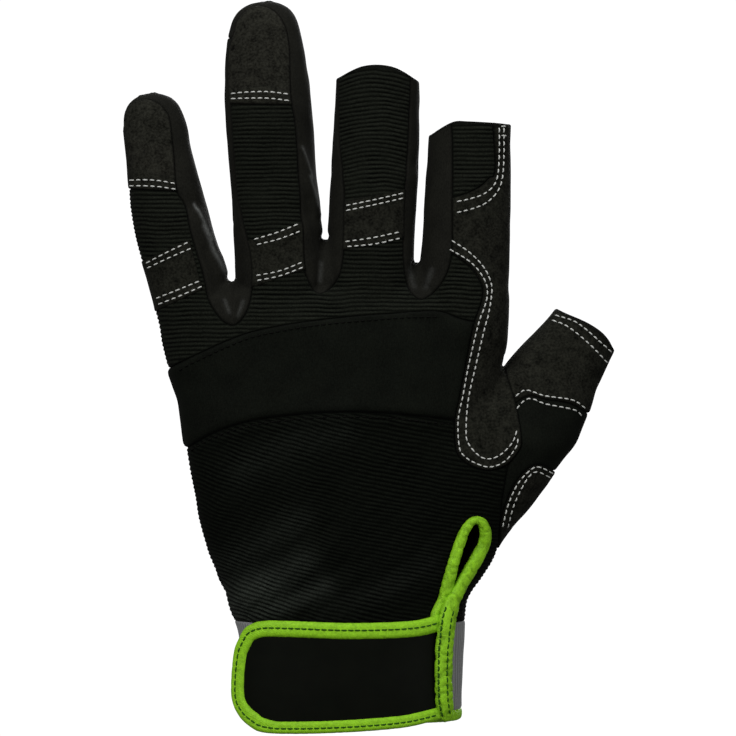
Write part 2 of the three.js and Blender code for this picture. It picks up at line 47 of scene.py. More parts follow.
# Hand and cloth sizes
PALM_LENGTH = 125.0
PALM_WIDTH = 108.0
PALM_DEPTH = 32.0
WRIST_WIDTH = 72.0
WRIST_DEPTH = 46.0
FINGER_CURL = 15.0
CURL_LENGTH = 125.0
THUMB_FORWARD = 14.0
WALL = 1.2
CUFF_HEIGHT = 32.6
HEM_HEIGHT = 4.8
OPENING_HEIGHT = 1.4
SEAM_BEHIND = 2.0
CURL_FROM = 0.85
THUMB_TURN = (0.46, 0.33)
SQUARENESS = {"finger": 2.25, "hand": 2.5, "web": 2.2}
TAPE_SQUARENESS = 2.3
# Rounded valleys where limbs of the form meet
FINGER_VALLEY = 0.5
PALM_VALLEY = 2.0
WEB_VALLEY = 1.2
THUMB_VALLEY = (1.5, 7)
# Box round the filled form
FORM_LOW = (-76.0, -30.0, -7.9)
FORM_HIGH = (91.0, 27.0, 236.0)
FAR_OFF = 6.0
# Ribs of the back, ribs of its lower part, and ribs round the elastic band
RIB_PITCH = 1.38
LOWER_RIB_PITCH = 1.32
CUFF_RIBS = 150
# Closing tab: how far it stands off the wrist and reaches, its crown and its back, and the pad under it
STRAP_LIFT = 2.9
TAB_REACH = 41.5
TAB_ROW = 40
TAB_RISE = 0.35
TAB_BACK = 0.6
TAB_CROWN_REACH = 8
PAD_TOP = 1.7
PAD_BOTTOM = 0.5
TAB_MESH = 0.8
# Top of the cloth that carries cuff pieces, and the binding round the wrist opening
WRIST_TOP = 60
HEM_TAPE_HEIGHT = 3.2
HEM_TAPE_HALF = (1.9, 1.1)

# Photo pixels used in the seam and stitch lines: size of one, and the middle of the wrist opening
PIXEL = 0.32
WRIST_PIXEL = (345.0, 722.0)
CAMERA_PLACE = (7.36, -1308.0, 113.28)
CAMERA_LENS = 200

# Fingers: root across and up the palm, length, width, depth, tilt to the left in degrees
FINGERS = {
    "little": ((-0.43, 0.978), 81.2, 25.0, 21.5, 12.4),
    "ring": ((-0.178, 1.0), 107.1, 29.2, 24.5, 4.0),
    "middle": ((0.065, 1.0), 85.9, 28.2, 24.5, -2.0),
    "index": ((0.338, 1.0), 67.0, 29.2, 24.5, -3.0),
    "thumb": ((0.326, 0.517), 74.2, 37.0, 30.0, -34.1),
}
# Sections of each finger: along it, sideways off its axis, width and depth
SECTIONS = {
    "little": [(-0.3, 0, 0.3, 0.3), (-0.15, 0, 0.85, 0.9), (0, 0.035, 0.96, 1.1),
               (0.27, 0.005, 0.98, 1), (0.45, -0.03, 0.98, 0.97), (0.555, -0.035, 0.95, 0.95),
               (0.75, -0.005, 0.84, 0.86), (0.86, 0.015, 0.81, 0.8), (0.92, 0.015, 0.74, 0.7),
               (0.96, 0.01, 0.6, 0.57), (0.987, 0, 0.37, 0.35), (1, 0, 0.02, 0.02)],
    "ring": [(-0.2, 0, 0.3, 0.3), (-0.1, 0, 0.85, 0.9), (0, 0, 1, 1.1), (0.27, 0, 0.99, 1),
             (0.45, -0.01, 0.95, 0.96), (0.67, -0.015, 0.96, 0.93), (0.81, -0.015, 0.895, 0.85),
             (0.886, -0.01, 0.82, 0.78), (0.935, 0, 0.73, 0.7), (0.968, 0, 0.6, 0.56),
             (0.99, 0, 0.38, 0.36), (1, 0, 0.02, 0.02)],
    "middle": [(-0.25, 0, 0.3, 0.3), (-0.12, 0, 0.85, 0.9), (0, 0, 1, 1.1), (0.35, 0.01, 1, 1),
               (0.66, 0.028, 0.985, 0.94), (0.93, 0.025, 0.955, 0.9), (1.1, 0.025, 0.95, 0.89)],
    "index": [(-0.3, 0, 0.3, 0.3), (-0.15, 0, 0.85, 0.9), (0, 0.01, 1, 1.1), (0.38, 0.015, 0.96, 0.98),
              (0.62, 0.01, 0.93, 0.94), (0.93, 0, 0.88, 0.9), (1.1, 0, 0.87, 0.89)],
    "thumb": [(-0.35, -0.15, 0.25, 0.3), (-0.15, -0.13, 0.6, 0.9), (0, -0.045, 0.85, 1.05),
              (0.2, -0.015, 0.95, 1.06), (0.41, -0.03, 1, 1), (0.59, 0.03, 0.905, 0.88),
              (0.765, 0.025, 0.79, 0.78), (1, 0.02, 0.615, 0.67), (1.12, 0.02, 0.61, 0.66)],
}
# Open finger ends: across the finger, and how far the edge lies past or short of its length
OPEN_ENDS = {
    "middle": [(-1.25, -0.085), (-1, -0.062), (-0.5, -0.022), (0, -0.01), (0.5, -0.022), (1, -0.062),
               (1.25, -0.085)],
    "index": [(-1.25, -0.085), (-1, -0.07), (-0.7, -0.03), (-0.4, -0.003), (0, 0), (1.25, 0)],
    "thumb": [(-1.25, 0), (-0.8, 0.004), (0, 0.022), (0.6, 0.018), (1, -0.01), (1.25, -0.02)],
}
# Sections of wrist and palm: height, left and right edge, depth
WRIST_SECTIONS = [(-0.064, -0.425, 0.512, 1), (0, -0.43, 0.515, 1), (0.08, -0.455, 0.52, 1),
                  (0.21, -0.467, 0.529, 0.98), (0.31, -0.513, 0.542, 0.98)]
PALM_SECTIONS = [(0.374, -0.376, 0.409, 1.37), (0.435, -0.397, 0.447, 1.33),
                 (0.496, -0.42, 0.466, 1.29), (0.616, -0.451, 0.463, 1.2), (0.742, -0.476, 0.456, 1.12),
                 (0.864, -0.495, 0.458, 1.05), (0.926, -0.525, 0.468, 1.02), (0.988, -0.541, 0.474, 1),
                 (1.048, -0.535, 0.474, 0.92), (1.096, -0.51, 0.472, 0.72), (1.124, -0.49, 0.445, 0.35)]
# Webs in the forks between the fingers: place across, top, width, depth
WEBS = [(-0.335, 1.112, 0.17, 0.5), (-0.064, 1.235, 0.14, 0.5), (0.206, 1.175, 0.17, 0.5)]
WEB_ROOT = 0.95
WEB_THINNING = [(0, 1.4), (0.5, 1.2), (0.8, 0.9), (0.93, 0.6), (1, 0.25)]

# Seams on the back of the hand, as shares of the palm's width and length
UPPER_SEAM = [(-0.7, 0.83), (-0.578, 0.881), (-0.459, 0.932), (-0.341, 0.978), (-0.246, 1.004),
              (-0.074, 1.029), (0.163, 1.047), (0.281, 1.05), (0.385, 1.024), (0.7, 0.99)]
LOWER_SEAM = [(-0.7, 0.6), (-0.548, 0.666), (-0.459, 0.707), (-0.385, 0.742), (-0.281, 0.771),
              (-0.133, 0.788), (0.015, 0.794), (0.163, 0.788), (0.326, 0.773), (0.7, 0.74)]
SADDLE_EDGE = [(0.447, 1.75), (0.447, 1.43), (0.428, 1.392), (0.38, 1.36), (0.299, 1.338), (0.2, 1.332),
               (0.2, 1.21), (0.293, 1.208), (0.353, 1.178), (0.385, 1.152), (0.406, 1.119),
               (0.409, 1.091), (0.4, 1.06), (0.382, 1.016), (0.356, 0.906), (0.341, 0.837),
               (0.326, 0.773), (0.329, 0.704), (0.344, 0.676), (0.382, 0.653), (0.43, 0.645),
               (0.48, 0.66), (0.516, 0.699), (0.521, 0.727), (0.507, 0.812), (0.468, 0.924), (0.5, 1.0),
               (0.56, 1.25), (0.7, 1.75)]
THUMB_EDGE = [(0.4, 0.95), (0.507, 0.812), (0.521, 0.727), (0.483, 0.655), (0.468, 0.568),
              (0.459, 0.466), (0.43, 0.384), (0.6, 0.3), (1.2, 0.6), (1.2, 1.2), (0.6, 1.2)]
THUMB_MID_SEAM = [(0.3, 0.75), (0.459, 0.794), (0.504, 0.819), (0.548, 0.837), (0.593, 0.827),
                  (0.679, 0.812), (0.785, 0.753), (0.9, 0.7)]
THUMB_PATCH_EDGE = [(0.42, 0.42), (0.459, 0.497), (0.48, 0.561), (0.507, 0.612), (0.539, 0.645),
                    (0.572, 0.658), (0.625, 0.64), (0.8, 0.56), (0.8, 0.3), (0.42, 0.3)]
# Seams of the strips between the fingers, in photo pixels: down one finger, round the fork, up the next
FOURCHETTES = {
    "fourchette_little_ring": [
        (123, -40), (123, 122), (126, 111), (132, 104), (139, 100.5), (147, 99.5), (156, 102),
        (164, 109), (170, 120), (174, 156), (177, 190), (186, 205), (191, 231), (204, 275), (209, 300),
        (220, 318), (231, 325), (241, 320), (249, 304), (252, 280), (251, 255), (247, 238), (240, 215),
        (236, 190), (234, 160), (231, 120), (228, 80), (229, 50), (231, 38), (210, 34), (210, -40)],
    "fourchette_ring_middle": [
        (210, -40), (210, 34), (231, 38), (237, 22), (246, 10), (255, 6), (263, 6.5), (271, 9.5),
        (279, 16), (286, 29), (289.5, 50), (290.5, 94), (296, 125), (299, 175), (302.5, 219),
        (304, 262), (309, 282), (318, 292), (328, 289), (337, 279), (342, 262), (343.5, 230),
        (343.5, 195), (341, 165), (338.5, 130), (338, 80), (338, -40)],
    "fourchette_middle_index": [
        (411, 40), (411, 82), (409.5, 120), (408, 160), (405, 195), (404, 225), (404, 265), (409, 289),
        (421, 298), (434, 291), (446, 274), (452, 250), (452.5, 220), (452, 180), (452, 140),
        (450, 110), (450, 40)],
}
# Patches over the joints: finger, from, to, tilt in degrees, left and right edge
PATCHES = {
    "patch_little": ("little", 0.18, 0.385, 12, -1.3, 0.34),
    "patch_ring": ("ring", 0.16, 0.302, 15, -0.74, 0.6),
    "patch_middle": ("middle", 0.322, 0.507, 13, -0.74, 0.76),
}
# Fingertip caps: finger, where they start, tilt in degrees
CAPS = {"cap_little": ("little", 0.603, -15), "cap_ring": ("ring", 0.68, -5)}
# Palm sides of the fingers: finger, and where they start
PALM_CREASES = {
    "little_palm": ("little", 0.15), "ring_palm": ("ring", 0.15),
    "middle_palm": ("middle", 0.17), "index_palm": ("index", 0.2),
}
INDEX_BACK_FROM = 0.6
END_REACH = 0.56

# Tab outline and slit, in photo pixels
STRAP_OUTLINE = [(441, 614), (410, 621), (350, 623), (290, 621), (262, 621), (246, 627), (238, 639),
                 (232.5, 655), (230, 690), (234, 709), (247, 724.5), (268, 733), (330, 733), (400, 728),
                 (441, 719)]
SLIT_HOLE = [(475, 525), (469, 533), (460, 555), (454, 574), (450, 586), (455, 582), (461, 571),
             (470, 555), (477, 540), (479, 528)]
# Middle of the binding round the slit and down the strand: x, y, lift over the cloth, half width and height
SLIT_BINDING = [(430, 655, 0.3, 1.8, 1.1), (432, 635, 0.5, 1.8, 1.3), (436, 616, 0.8, 1.9, 1.5),
                (443.5, 600, 0.8, 2.05, 1.6), (449, 580, 0.8, 2.05, 1.6), (454.5, 560, 0.8, 1.85, 1.6),
                (461, 540, 0.8, 1.7, 1.6), (467, 527, 0.8, 1.5, 1.5), (475.5, 520, 0.8, 1.25, 1.5),
                (483.5, 525, 0.8, 1.7, 1.5), (485, 540, 0.8, 2.1, 1.6), (476, 560, 0.8, 2.35, 1.7),
                (464.5, 579, 1.0, 2.35, 1.8), (457.5, 592, 1.8, 2.4, 2.0), (451.5, 605, 2.8, 2.9, 2.0),
                (447, 622, 3.4, 3.15, 1.9), (444, 660, 3.5, 3.15, 1.8), (444, 695, 3.4, 3.15, 1.8),
                (445.5, 710, 2.8, 3.05, 1.8), (447.5, 717, 2.0, 2.4, 1.6)]


def seam_depth(x, z):
    """How far back the middle of the form lies: fingers curl forward, and so does the thumb."""
    above = np.maximum(0, z - CURL_FROM * PALM_LENGTH) / CURL_LENGTH
    out = np.clip((x - THUMB_TURN[0] * PALM_WIDTH) / (THUMB_TURN[1] * PALM_WIDTH), 0, 1)
    return FINGER_CURL * above ** 2 + THUMB_FORWARD * out ** 2 * (3 - 2 * out)


def on_palm(place):
    return np.array([place[0] * PALM_WIDTH, place[1] * PALM_LENGTH])


def on_photo(pixels):
    """Points of the photo as x and z in millimetres."""
    pixels = np.array(pixels, float)
    return np.stack([(pixels[:, 0] - WRIST_PIXEL[0]) * PIXEL,
                     (WRIST_PIXEL[1] - pixels[:, 1]) * PIXEL], axis=1)


def seen(points):
    """Points as x and z on the plane through the wrist, as the camera sees them."""
    middle = np.array([CAMERA_PLACE[0], CAMERA_PLACE[2]])
    depth = (points[:, 1:2] - CAMERA_PLACE[1]) / -CAMERA_PLACE[1]
    return middle + (points[:, [0, 2]] - middle) / depth


def beside_axis(name, along, aside):
    """A point beside a finger's axis, by its station and a share of its widest section."""
    root, length, width, _, tilt = FINGERS[name]
    lean = math.radians(tilt)
    x, z = on_palm(root)
    out = along * length
    return (x - math.sin(lean) * out + math.cos(lean) * aside * width,
            z + math.cos(lean) * out + math.sin(lean) * aside * width)


def on_finger(name, along, across):
    rows = np.array(SECTIONS[name], float)
    aside = np.interp(along, rows[:, 0], rows[:, 1])
    width = np.interp(along, rows[:, 0], rows[:, 2])
    return beside_axis(name, along, aside + across * width / 2)


def end_outline(name, start, tilt=0):
    _, length, width, _, _ = FINGERS[name]
    lift = math.tan(math.radians(tilt)) * width * END_REACH / length
    return [beside_axis(name, start - lift, -END_REACH), beside_axis(name, start + lift, END_REACH),
            beside_axis(name, 1.3, END_REACH), beside_axis(name, 1.3, -END_REACH)]


def patch_outline(finger, start, end, tilt, left, right):
    _, length, width, _, _ = FINGERS[finger]
    lift = math.tan(math.radians(tilt)) * width / length / 2
    return [on_finger(finger, start + lift * left, left), on_finger(finger, start + lift * right, right),
            on_finger(finger, end + lift * right, right), on_finger(finger, end + lift * left, left)]


def dense(rows, squared, steps=260):
    """A table sampled closely along curves that don't overshoot. Squared columns end round."""
    rows = np.array(rows, float)
    at = rows[:, 0]
    fine = np.linspace(at[0], at[-1], steps)
    columns = [fine]
    for index in range(1, rows.shape[1]):
        value = rows[:, index] ** 2 if index in squared else rows[:, index]
        slope = np.diff(value) / np.diff(at)
        tangent = np.concatenate([[slope[0]], np.zeros(len(at) - 2), [slope[-1]]])
        same = slope[:-1] * slope[1:] > 0
        before, after = slope[:-1][same], slope[1:][same]
        tangent[1:-1][same] = 2 * before * after / (before + after)
        cell = np.clip(np.searchsorted(at, fine, side="right") - 1, 0, len(at) - 2)
        run = at[cell + 1] - at[cell]
        t = (fine - at[cell]) / run
        curve = ((1 + 2 * t) * (1 - t) ** 2 * value[cell] + t * (1 - t) ** 2 * run * tangent[cell]
                 + t * t * (3 - 2 * t) * value[cell + 1] + t * t * (t - 1) * run * tangent[cell + 1])
        columns.append(np.sqrt(np.maximum(curve, 1e-4)) if index in squared else curve)
    return np.stack(columns, axis=1)


def tube(root, lean, rows, squareness):
    """A limb of the hand: rows are station, sideways, half width, half depth, all in millimetres."""
    across = np.array([math.cos(lean), 0, math.sin(lean)])
    up = np.array([-math.sin(lean), 0, math.cos(lean)])
    table = dense(rows, squared=(2, 3))
    middle = np.array([root[0], 0, root[1]]) + table[:, :1] * up + table[:, 1:2] * across
    return {"root": np.array([root[0], 0, root[1]]), "up": up, "across": across, "table": table,
            "squareness": squareness, "depth": seam_depth(middle[:, 0], middle[:, 2])}


def tube_distance(limb, points):
    table = limb["table"]
    local = points - limb["root"]
    station = local @ limb["up"]
    aside = local @ limb["across"] - np.interp(station, table[:, 0], table[:, 1])
    deep = points[:, 1] - np.interp(station, table[:, 0], limb["depth"])
    half_width = np.interp(station, table[:, 0], table[:, 2])
    half_depth = np.interp(station, table[:, 0], table[:, 3])
    power = limb["squareness"]
    reach = (np.abs(aside / half_width) ** power + np.abs(deep / half_depth) ** power) ** (1 / power)
    outside = np.hypot(aside, deep) * (1 - 1 / np.maximum(reach, 1))
    wide, high = np.minimum(np.abs(aside) / half_width, 1), np.minimum(np.abs(deep) / half_depth, 1)
    inside = np.minimum(half_depth * (1 - wide ** power) ** (1 / power) - np.abs(deep),
                        half_width * (1 - high ** power) ** (1 / power) - np.abs(aside))
    radial = np.where(reach > 1, outside, -np.maximum(inside, 0))
    past = np.maximum(station - table[-1, 0], table[0, 0] - station)
    return np.where(past > 0, np.maximum(radial, 0) + past, np.maximum(radial, past))


def finger_tube(name):
    root, length, width, depth, tilt = FINGERS[name]
    rows = [(along * length, aside * width, wide * width / 2, deep * depth / 2)
            for along, aside, wide, deep in SECTIONS[name]]
    return tube(on_palm(root), math.radians(tilt), rows, SQUARENESS["finger"])


def hand_tube():
    rows = [(up * PALM_LENGTH, left * width, right * width, deep * depth)
            for sections, width, depth in ((WRIST_SECTIONS, WRIST_WIDTH, WRIST_DEPTH),
                                           (PALM_SECTIONS, PALM_WIDTH, PALM_DEPTH))
            for up, left, right, deep in sections]
    table = [(up, (left + right) / 2, (right - left) / 2, deep / 2) for up, left, right, deep in rows]
    return tube((0, 0), 0, table, SQUARENESS["hand"])


def web_tube(at, top, width, depth):
    x, z = on_palm((at, top))
    bottom = WEB_ROOT * PALM_LENGTH
    rows = [(bottom + (z - bottom) * share, 0, width * PALM_WIDTH / 2, depth * PALM_DEPTH / 2 * thick)
            for share, thick in WEB_THINNING]
    return tube((x, 0), 0, rows, SQUARENESS["web"])


HAND = hand_tube()
LIMBS = {name: finger_tube(name) for name in FINGERS}
WEB_TUBES = [web_tube(*web) for web in WEBS]
THUMB_CROTCH = on_photo([(503, 356)])[0]
THUMB_INSIDE = on_photo([(528, 335)])[0]


def melt(a, b, width):
    """The union of two distances with a rounded valley of that width between them."""
    share = np.clip(0.5 + 0.5 * (b - a) / width, 0, 1)
    return b * (1 - share) + a * share - width * share * (1 - share)


def form(points):
    """Distance to the filled form of the glove, negative inside."""
    fingers = tube_distance(LIMBS["little"], points)
    for name in ("ring", "middle", "index"):
        fingers = melt(fingers, tube_distance(LIMBS[name], points), FINGER_VALLEY)
    whole = melt(tube_distance(HAND, points), fingers, PALM_VALLEY)
    for web in WEB_TUBES:
        whole = melt(whole, tube_distance(web, points), WEB_VALLEY)
    apart = np.hypot(points[:, 0] - THUMB_CROTCH[0], points[:, 2] - THUMB_CROTCH[1])
    below = np.clip((THUMB_CROTCH[1] - points[:, 2]) / 30, 0, 1)
    below *= np.clip((points[:, 2] - 52) / 25, 0, 1)
    soft = THUMB_VALLEY[0] + THUMB_VALLEY[1] * np.clip((apart - 6) / 20, 0, 1) * below
    return melt(whole, tube_distance(LIMBS["thumb"], points), soft)


def slope_of(points):
    step = 0.15
    return np.stack([(form(points + step * axis) - form(points - step * axis)) / (2 * step)
                     for axis in np.eye(3)], axis=1)


def unit(vectors):
    return vectors / np.maximum(np.linalg.norm(vectors, axis=-1, keepdims=True), 1e-9)


def skin():
    """The outer face of the filled form as points and triangles."""
    low, high = np.array(FORM_LOW), np.array(FORM_HIGH)
    counts = (high - low) / VOXEL
    coarse = 3
    counts = (np.ceil(counts / coarse) * coarse).astype(int)
    blocks = [low[k] + VOXEL * (np.arange(counts[k] // coarse) * coarse + 1) for k in range(3)]
    centres = np.stack(np.meshgrid(*blocks, indexing="ij"), axis=-1)
    rough = form(centres.reshape(-1, 3)).reshape(centres.shape[:3])
    for axis in range(3):
        rough = np.repeat(rough, coarse, axis=axis)
    near = np.abs(rough) < 5.5 * VOXEL
    places = np.argwhere(near)
    field = np.where(rough > 0, FAR_OFF, -FAR_OFF).astype(np.float32)
    field[near] = form(low + VOXEL * places)
    grid = vdb.FloatGrid(FAR_OFF)
    grid.copyFromArray(field)
    points, triangles, quads = grid.convertToPolygons(0.0)
    points = low + VOXEL * np.asarray(points, float)
    quads = np.asarray(quads, int).reshape(-1, 4)
    faces = np.concatenate([np.asarray(triangles, int).reshape(-1, 3),
                            quads[:, [0, 1, 2]], quads[:, [0, 2, 3]]])
    for _ in range(3):
        slope = slope_of(points)
        points = points - np.clip(form(points) / (slope ** 2).sum(axis=1), -1, 1)[:, None] * slope
    a, b, c = (points[faces[:, k]] for k in range(3))
    if (np.cross(b - a, c - a) * a).sum() < 0:
        faces = faces[:, ::-1]
    return points, faces


def cut(points, faces, value, carried=None):
    """Cuts every triangle along value = 0. Carried columns are kept for old and new points."""
    value = np.where(np.abs(value) < 0.04, 0, value)
    sign = np.sign(value)[faces]
    crossed = np.stack([sign[:, k] * sign[:, (k + 1) % 3] < 0 for k in range(3)], axis=1)
    edges = np.stack([faces, np.roll(faces, -1, axis=1)], axis=2)
    cut_edges = edges[crossed]
    table = np.column_stack([points, value] + ([] if carried is None else [carried]))
    if not len(cut_edges):
        return points, faces, value, carried
    ordered = np.sort(cut_edges, axis=1)
    pairs, which = np.unique(ordered, axis=0, return_inverse=True)
    share = value[pairs[:, 0]] / (value[pairs[:, 0]] - value[pairs[:, 1]])
    fresh = table[pairs[:, 0]] * (1 - share[:, None]) + table[pairs[:, 1]] * share[:, None]
    fresh[:, 3] = 0
    number = np.full(crossed.shape, -1)
    number[crossed] = which.ravel() + len(points)
    table = np.concatenate([table, fresh])
    kept = [faces[~crossed.any(axis=1)]]
    count = crossed.sum(axis=1)
    for turn in range(3):
        rolled = np.roll(faces, -turn, axis=1)
        marks = np.roll(number, -turn, axis=1)
        marked = np.roll(crossed, -turn, axis=1)
        one = (count == 1) & marked[:, 0]
        f, n = rolled[one], marks[one]
        kept += [np.column_stack([f[:, 0], n[:, 0], f[:, 2]]), np.column_stack([n[:, 0], f[:, 1], f[:, 2]])]
        two = (count == 2) & marked[:, 0] & marked[:, 2]
        f, n = rolled[two], marks[two]
        kept += [np.column_stack([f[:, 0], n[:, 0], n[:, 2]]), np.column_stack([n[:, 0], f[:, 1], f[:, 2]]),
                 np.column_stack([n[:, 0], f[:, 2], n[:, 2]])]
    return table[:, :3], np.concatenate(kept), table[:, 3], (table[:, 4:] if carried is not None else None)


def used(points, faces):
    """The same faces with only the points that they use."""
    keep, which = np.unique(faces, return_inverse=True)
    return points[keep], which.reshape(-1, 3)


def part(cloth, field):
    """Parts cloth into what lies inside a field, where it is negative, and what lies outside."""
    points, faces, value, _ = cut(*cloth, field(cloth[0]))
    inner = value[faces].sum(axis=1) < 0
    return used(points, faces[inner]), used(points, faces[~inner])


def segment_squared(x, z, start, end):
    """Squared distance to the segment between two points."""
    (ax, az), (bx, bz) = start, end
    dx, dz = bx - ax, bz - az
    t = np.clip(((x - ax) * dx + (z - az) * dz) / max(dx * dx + dz * dz, 1e-9), 0, 1)
    return (x - ax - t * dx) ** 2 + (z - az - t * dz) ** 2


def outline_distance(points, outline):
    """Distance to a closed outline as the camera sees it, negative inside it."""
    outline = np.array(outline, float)
    low, high = outline.min(axis=0) - FAR_OFF, outline.max(axis=0) + FAR_OFF
    flat = seen(points)
    near = ((flat > low) & (flat < high)).all(axis=1)
    result = np.full(len(points), FAR_OFF)
    x, z = flat[near].T
    nearest = np.full(len(x), 1e9)
    inside = np.zeros(len(x), bool)
    for (ax, az), (bx, bz) in zip(outline, np.roll(outline, -1, axis=0)):
        nearest = np.minimum(nearest, segment_squared(x, z, (ax, az), (bx, bz)))
        crosses = (az > z) != (bz > z)
        inside ^= crosses & (x < ax + (z - az) * (bx - ax) / (1e-9 if bz == az else bz - az))
    result[near] = np.sqrt(nearest) * np.where(inside, -1, 1)
    return result


def smooth(line, steps=8, closed=False):
    """A curve through the points of a line, of any number of columns."""
    line = np.array(line, float)
    ends = (line[-1:], line[:2]) if closed else (2 * line[:1] - line[1:2], 2 * line[-1:] - line[-2:-1])
    whole = np.concatenate([ends[0], line, ends[1]])
    result = []
    for p, q, r, s in zip(whole[:-3], whole[1:-2], whole[2:-1], whole[3:]):
        for t in np.arange(steps) / steps:
            result.append(0.5 * (2 * q + (r - p) * t + (2 * p - 5 * q + 4 * r - s) * t * t
                                 + (3 * q - p - 3 * r + s) * t ** 3))
    return np.array(result if closed else result + [line[-1]])


def within(outline):
    return lambda points: outline_distance(points, outline)


def below_line(line):
    """Negative below a line that runs from left to right over the whole hand."""
    line = np.array(line, float)
    return within([*line, (line[-1, 0], -60), (line[0, 0], -60)])


def palm_share(shares, closed=False, steps=8):
    return smooth([on_palm(share) for share in shares], steps, closed)


RANDOM = np.random.default_rng(7)
LATTICE = RANDOM.uniform(-1, 1, (32, 32, 32))


def soft_noise(points, size, shift=0.0):
    """Smooth noise from -1 to 1, with lumps of about that size in millimetres."""
    place = (points + shift) / size
    cell = np.floor(place).astype(int)
    t = place - cell
    t = t * t * (3 - 2 * t)
    total = np.zeros(len(points))
    for corner in np.ndindex(2, 2, 2):
        corner = np.array(corner)
        weight = np.prod(np.where(corner, t, 1 - t), axis=1)
        x, y, z = ((cell + corner) % 32).T
        total += weight * LATTICE[x, y, z]
    return total


def photo_lines(rows):
    """Lines in photo pixels, brought onto the glove, each with its width and its strength."""
    return [(on_photo(line), width, strength) for line, width, strength in rows]


# Broad folds and puckers on the back: line in photo pixels, width and height in millimetres
FOLDS = photo_lines([
    ([(220, 548), (250, 535), (300, 505)], 4.5, 0.8), ([(244, 600), (270, 586), (330, 548)], 4.5, 1.2),
    ([(192, 358), (231, 340), (261, 330), (320, 320), (400, 313), (440, 312)], 1.2, 0.6),
    ([(200, 449), (215, 441), (250, 430), (300, 423), (350, 421), (400, 423), (452, 429)], 1.2, 0.5),
    ([(262, 622), (310, 600), (360, 575)], 4.0, 1.0), ([(218, 582), (272, 562), (330, 525)], 3.2, -0.9),
    ([(250, 616), (300, 592), (345, 565)], 2.6, -0.8), ([(330, 605), (390, 592), (430, 560)], 4.0, 0.6),
    ([(195, 520), (240, 500), (290, 490)], 5.0, 0.5), ([(400, 560), (425, 520), (440, 480)], 5.0, 0.5),
    ([(236, 288), (234, 310), (231, 324)], 1.2, -0.8), ([(221, 300), (227, 318)], 1.5, 0.4),
    ([(243, 300), (238, 316)], 1.5, 0.4), ([(326, 238), (323, 262), (319, 288)], 1.4, -0.9),
    ([(311, 262), (315, 280)], 1.6, 0.4), ([(333, 262), (328, 280)], 1.6, 0.4),
    ([(415, 264), (418, 280), (421, 294)], 2.0, -0.7), ([(408, 262), (412, 284)], 1.6, 0.4),
    ([(199, 212), (212, 242), (224, 272)], 1.5, 0.7), ([(206, 250), (218, 284), (229, 304)], 1.6, -0.5),
    ([(303, 150), (309, 180), (319, 214)], 1.4, 0.6), ([(308, 200), (316, 232), (321, 248)], 1.5, -0.5),
    ([(224, 258), (228, 270), (231, 284)], 2.5, 0.45), ([(503, 361), (496, 395), (488, 430)], 4.0, -0.5),
    ([(128, 200), (160, 196), (196, 205)], 3.0, -0.5), ([(232, 215), (270, 211), (316, 214)], 3.0, -0.5),
    ([(330, 168), (372, 160), (416, 165)], 3.0, -0.4), ([(520, 370), (560, 376), (600, 392)], 4.0, -0.6),
    ([(512, 440), (540, 450), (575, 440)], 4.0, 0.4), ([(470, 480), (500, 500), (505, 530)], 4.0, -0.5),
])
# Hems of the open finger ends
HEM_LINES = [smooth([on_finger(finger, 1 + past, across) for across, past in rows])
             for finger, rows in OPEN_ENDS.items()]
# Creases of the palm side: line in photo pixels
PALM_FOLDS = photo_lines([
    ([(150, 262), (190, 258), (230, 262)], 3.0, -0.8), ([(225, 236), (270, 232), (320, 236)], 3.0, -0.8),
    ([(324, 220), (370, 216), (416, 220)], 3.0, -0.8), ([(420, 232), (465, 230), (508, 232)], 3.0, -0.8),
    ([(170, 400), (280, 372), (420, 366), (500, 380)], 5.0, -1.0),
    ([(300, 560), (400, 500), (480, 420)], 6.0, -1.0), ([(190, 500), (260, 470), (330, 430)], 6.0, -0.7),
])
# Painted sheen, cloth a little paler along lines: line in photo pixels, width in millimetres and strength
PAINTED_SHEEN = photo_lines([
    ([(206, 612), (262, 588), (305, 564)], 5.0, 0.26), ([(225, 622), (285, 606), (325, 586)], 3.0, 0.24),
    ([(200, 618), (232, 606), (262, 592)], 7.0, 0.34), ([(196, 580), (250, 552), (300, 520)], 4.5, 0.16),
    ([(320, 612), (380, 594), (430, 565)], 4.0, 0.1), ([(240, 470), (300, 440), (340, 432)], 5.0, 0.1),
    ([(195, 204), (203, 222), (211, 240)], 0.45, 0.8), ([(203, 226), (214, 252), (226, 278)], 0.5, 0.65),
    ([(302, 147), (307, 162), (312, 178)], 0.4, 0.5), ([(309, 176), (314, 192), (318, 206)], 0.4, 0.6),
    ([(225, 300), (229, 312)], 0.6, 0.25), ([(243, 302), (238, 316)], 0.6, 0.2),
    ([(321, 262), (320, 280)], 0.7, 0.2), ([(409, 270), (414, 286)], 0.9, 0.2),
    ([(432, 270), (426, 286)], 0.9, 0.18),
])


def line_distance(points, line):
    """Distance to an open line as the camera sees it."""
    x, z = seen(points).T
    nearest = np.full(len(points), 1e9)
    for start, end in zip(line[:-1], line[1:]):
        nearest = np.minimum(nearest, segment_squared(x, z, start, end))
    return np.sqrt(nearest)


def on_front(points):
    return points[:, 1] < seam_depth(points[:, 0], points[:, 2])


def add_lines(total, points, side, rows):
    """Adds a soft ridge along every line of a table, on one side of the hand."""
    for line, width, strength in rows:
        total += side * strength * np.exp(-(line_distance(points, line) / width) ** 2)
    return total


def drape(points):
    """How far folds and small unevenness lift the cloth off the form."""
    lift = 0.22 * soft_noise(points, 11) + 0.12 * soft_noise(points, 5, 40)
    front = on_front(points)
    return add_lines(add_lines(lift, points, front, FOLDS), points, ~front, PALM_FOLDS)


def hem_share(points):
    """1 on the hems of the open finger ends, 0 away from them."""
    return sum(np.exp(-(line_distance(points, line) / 1.2) ** 4) for line in HEM_LINES)


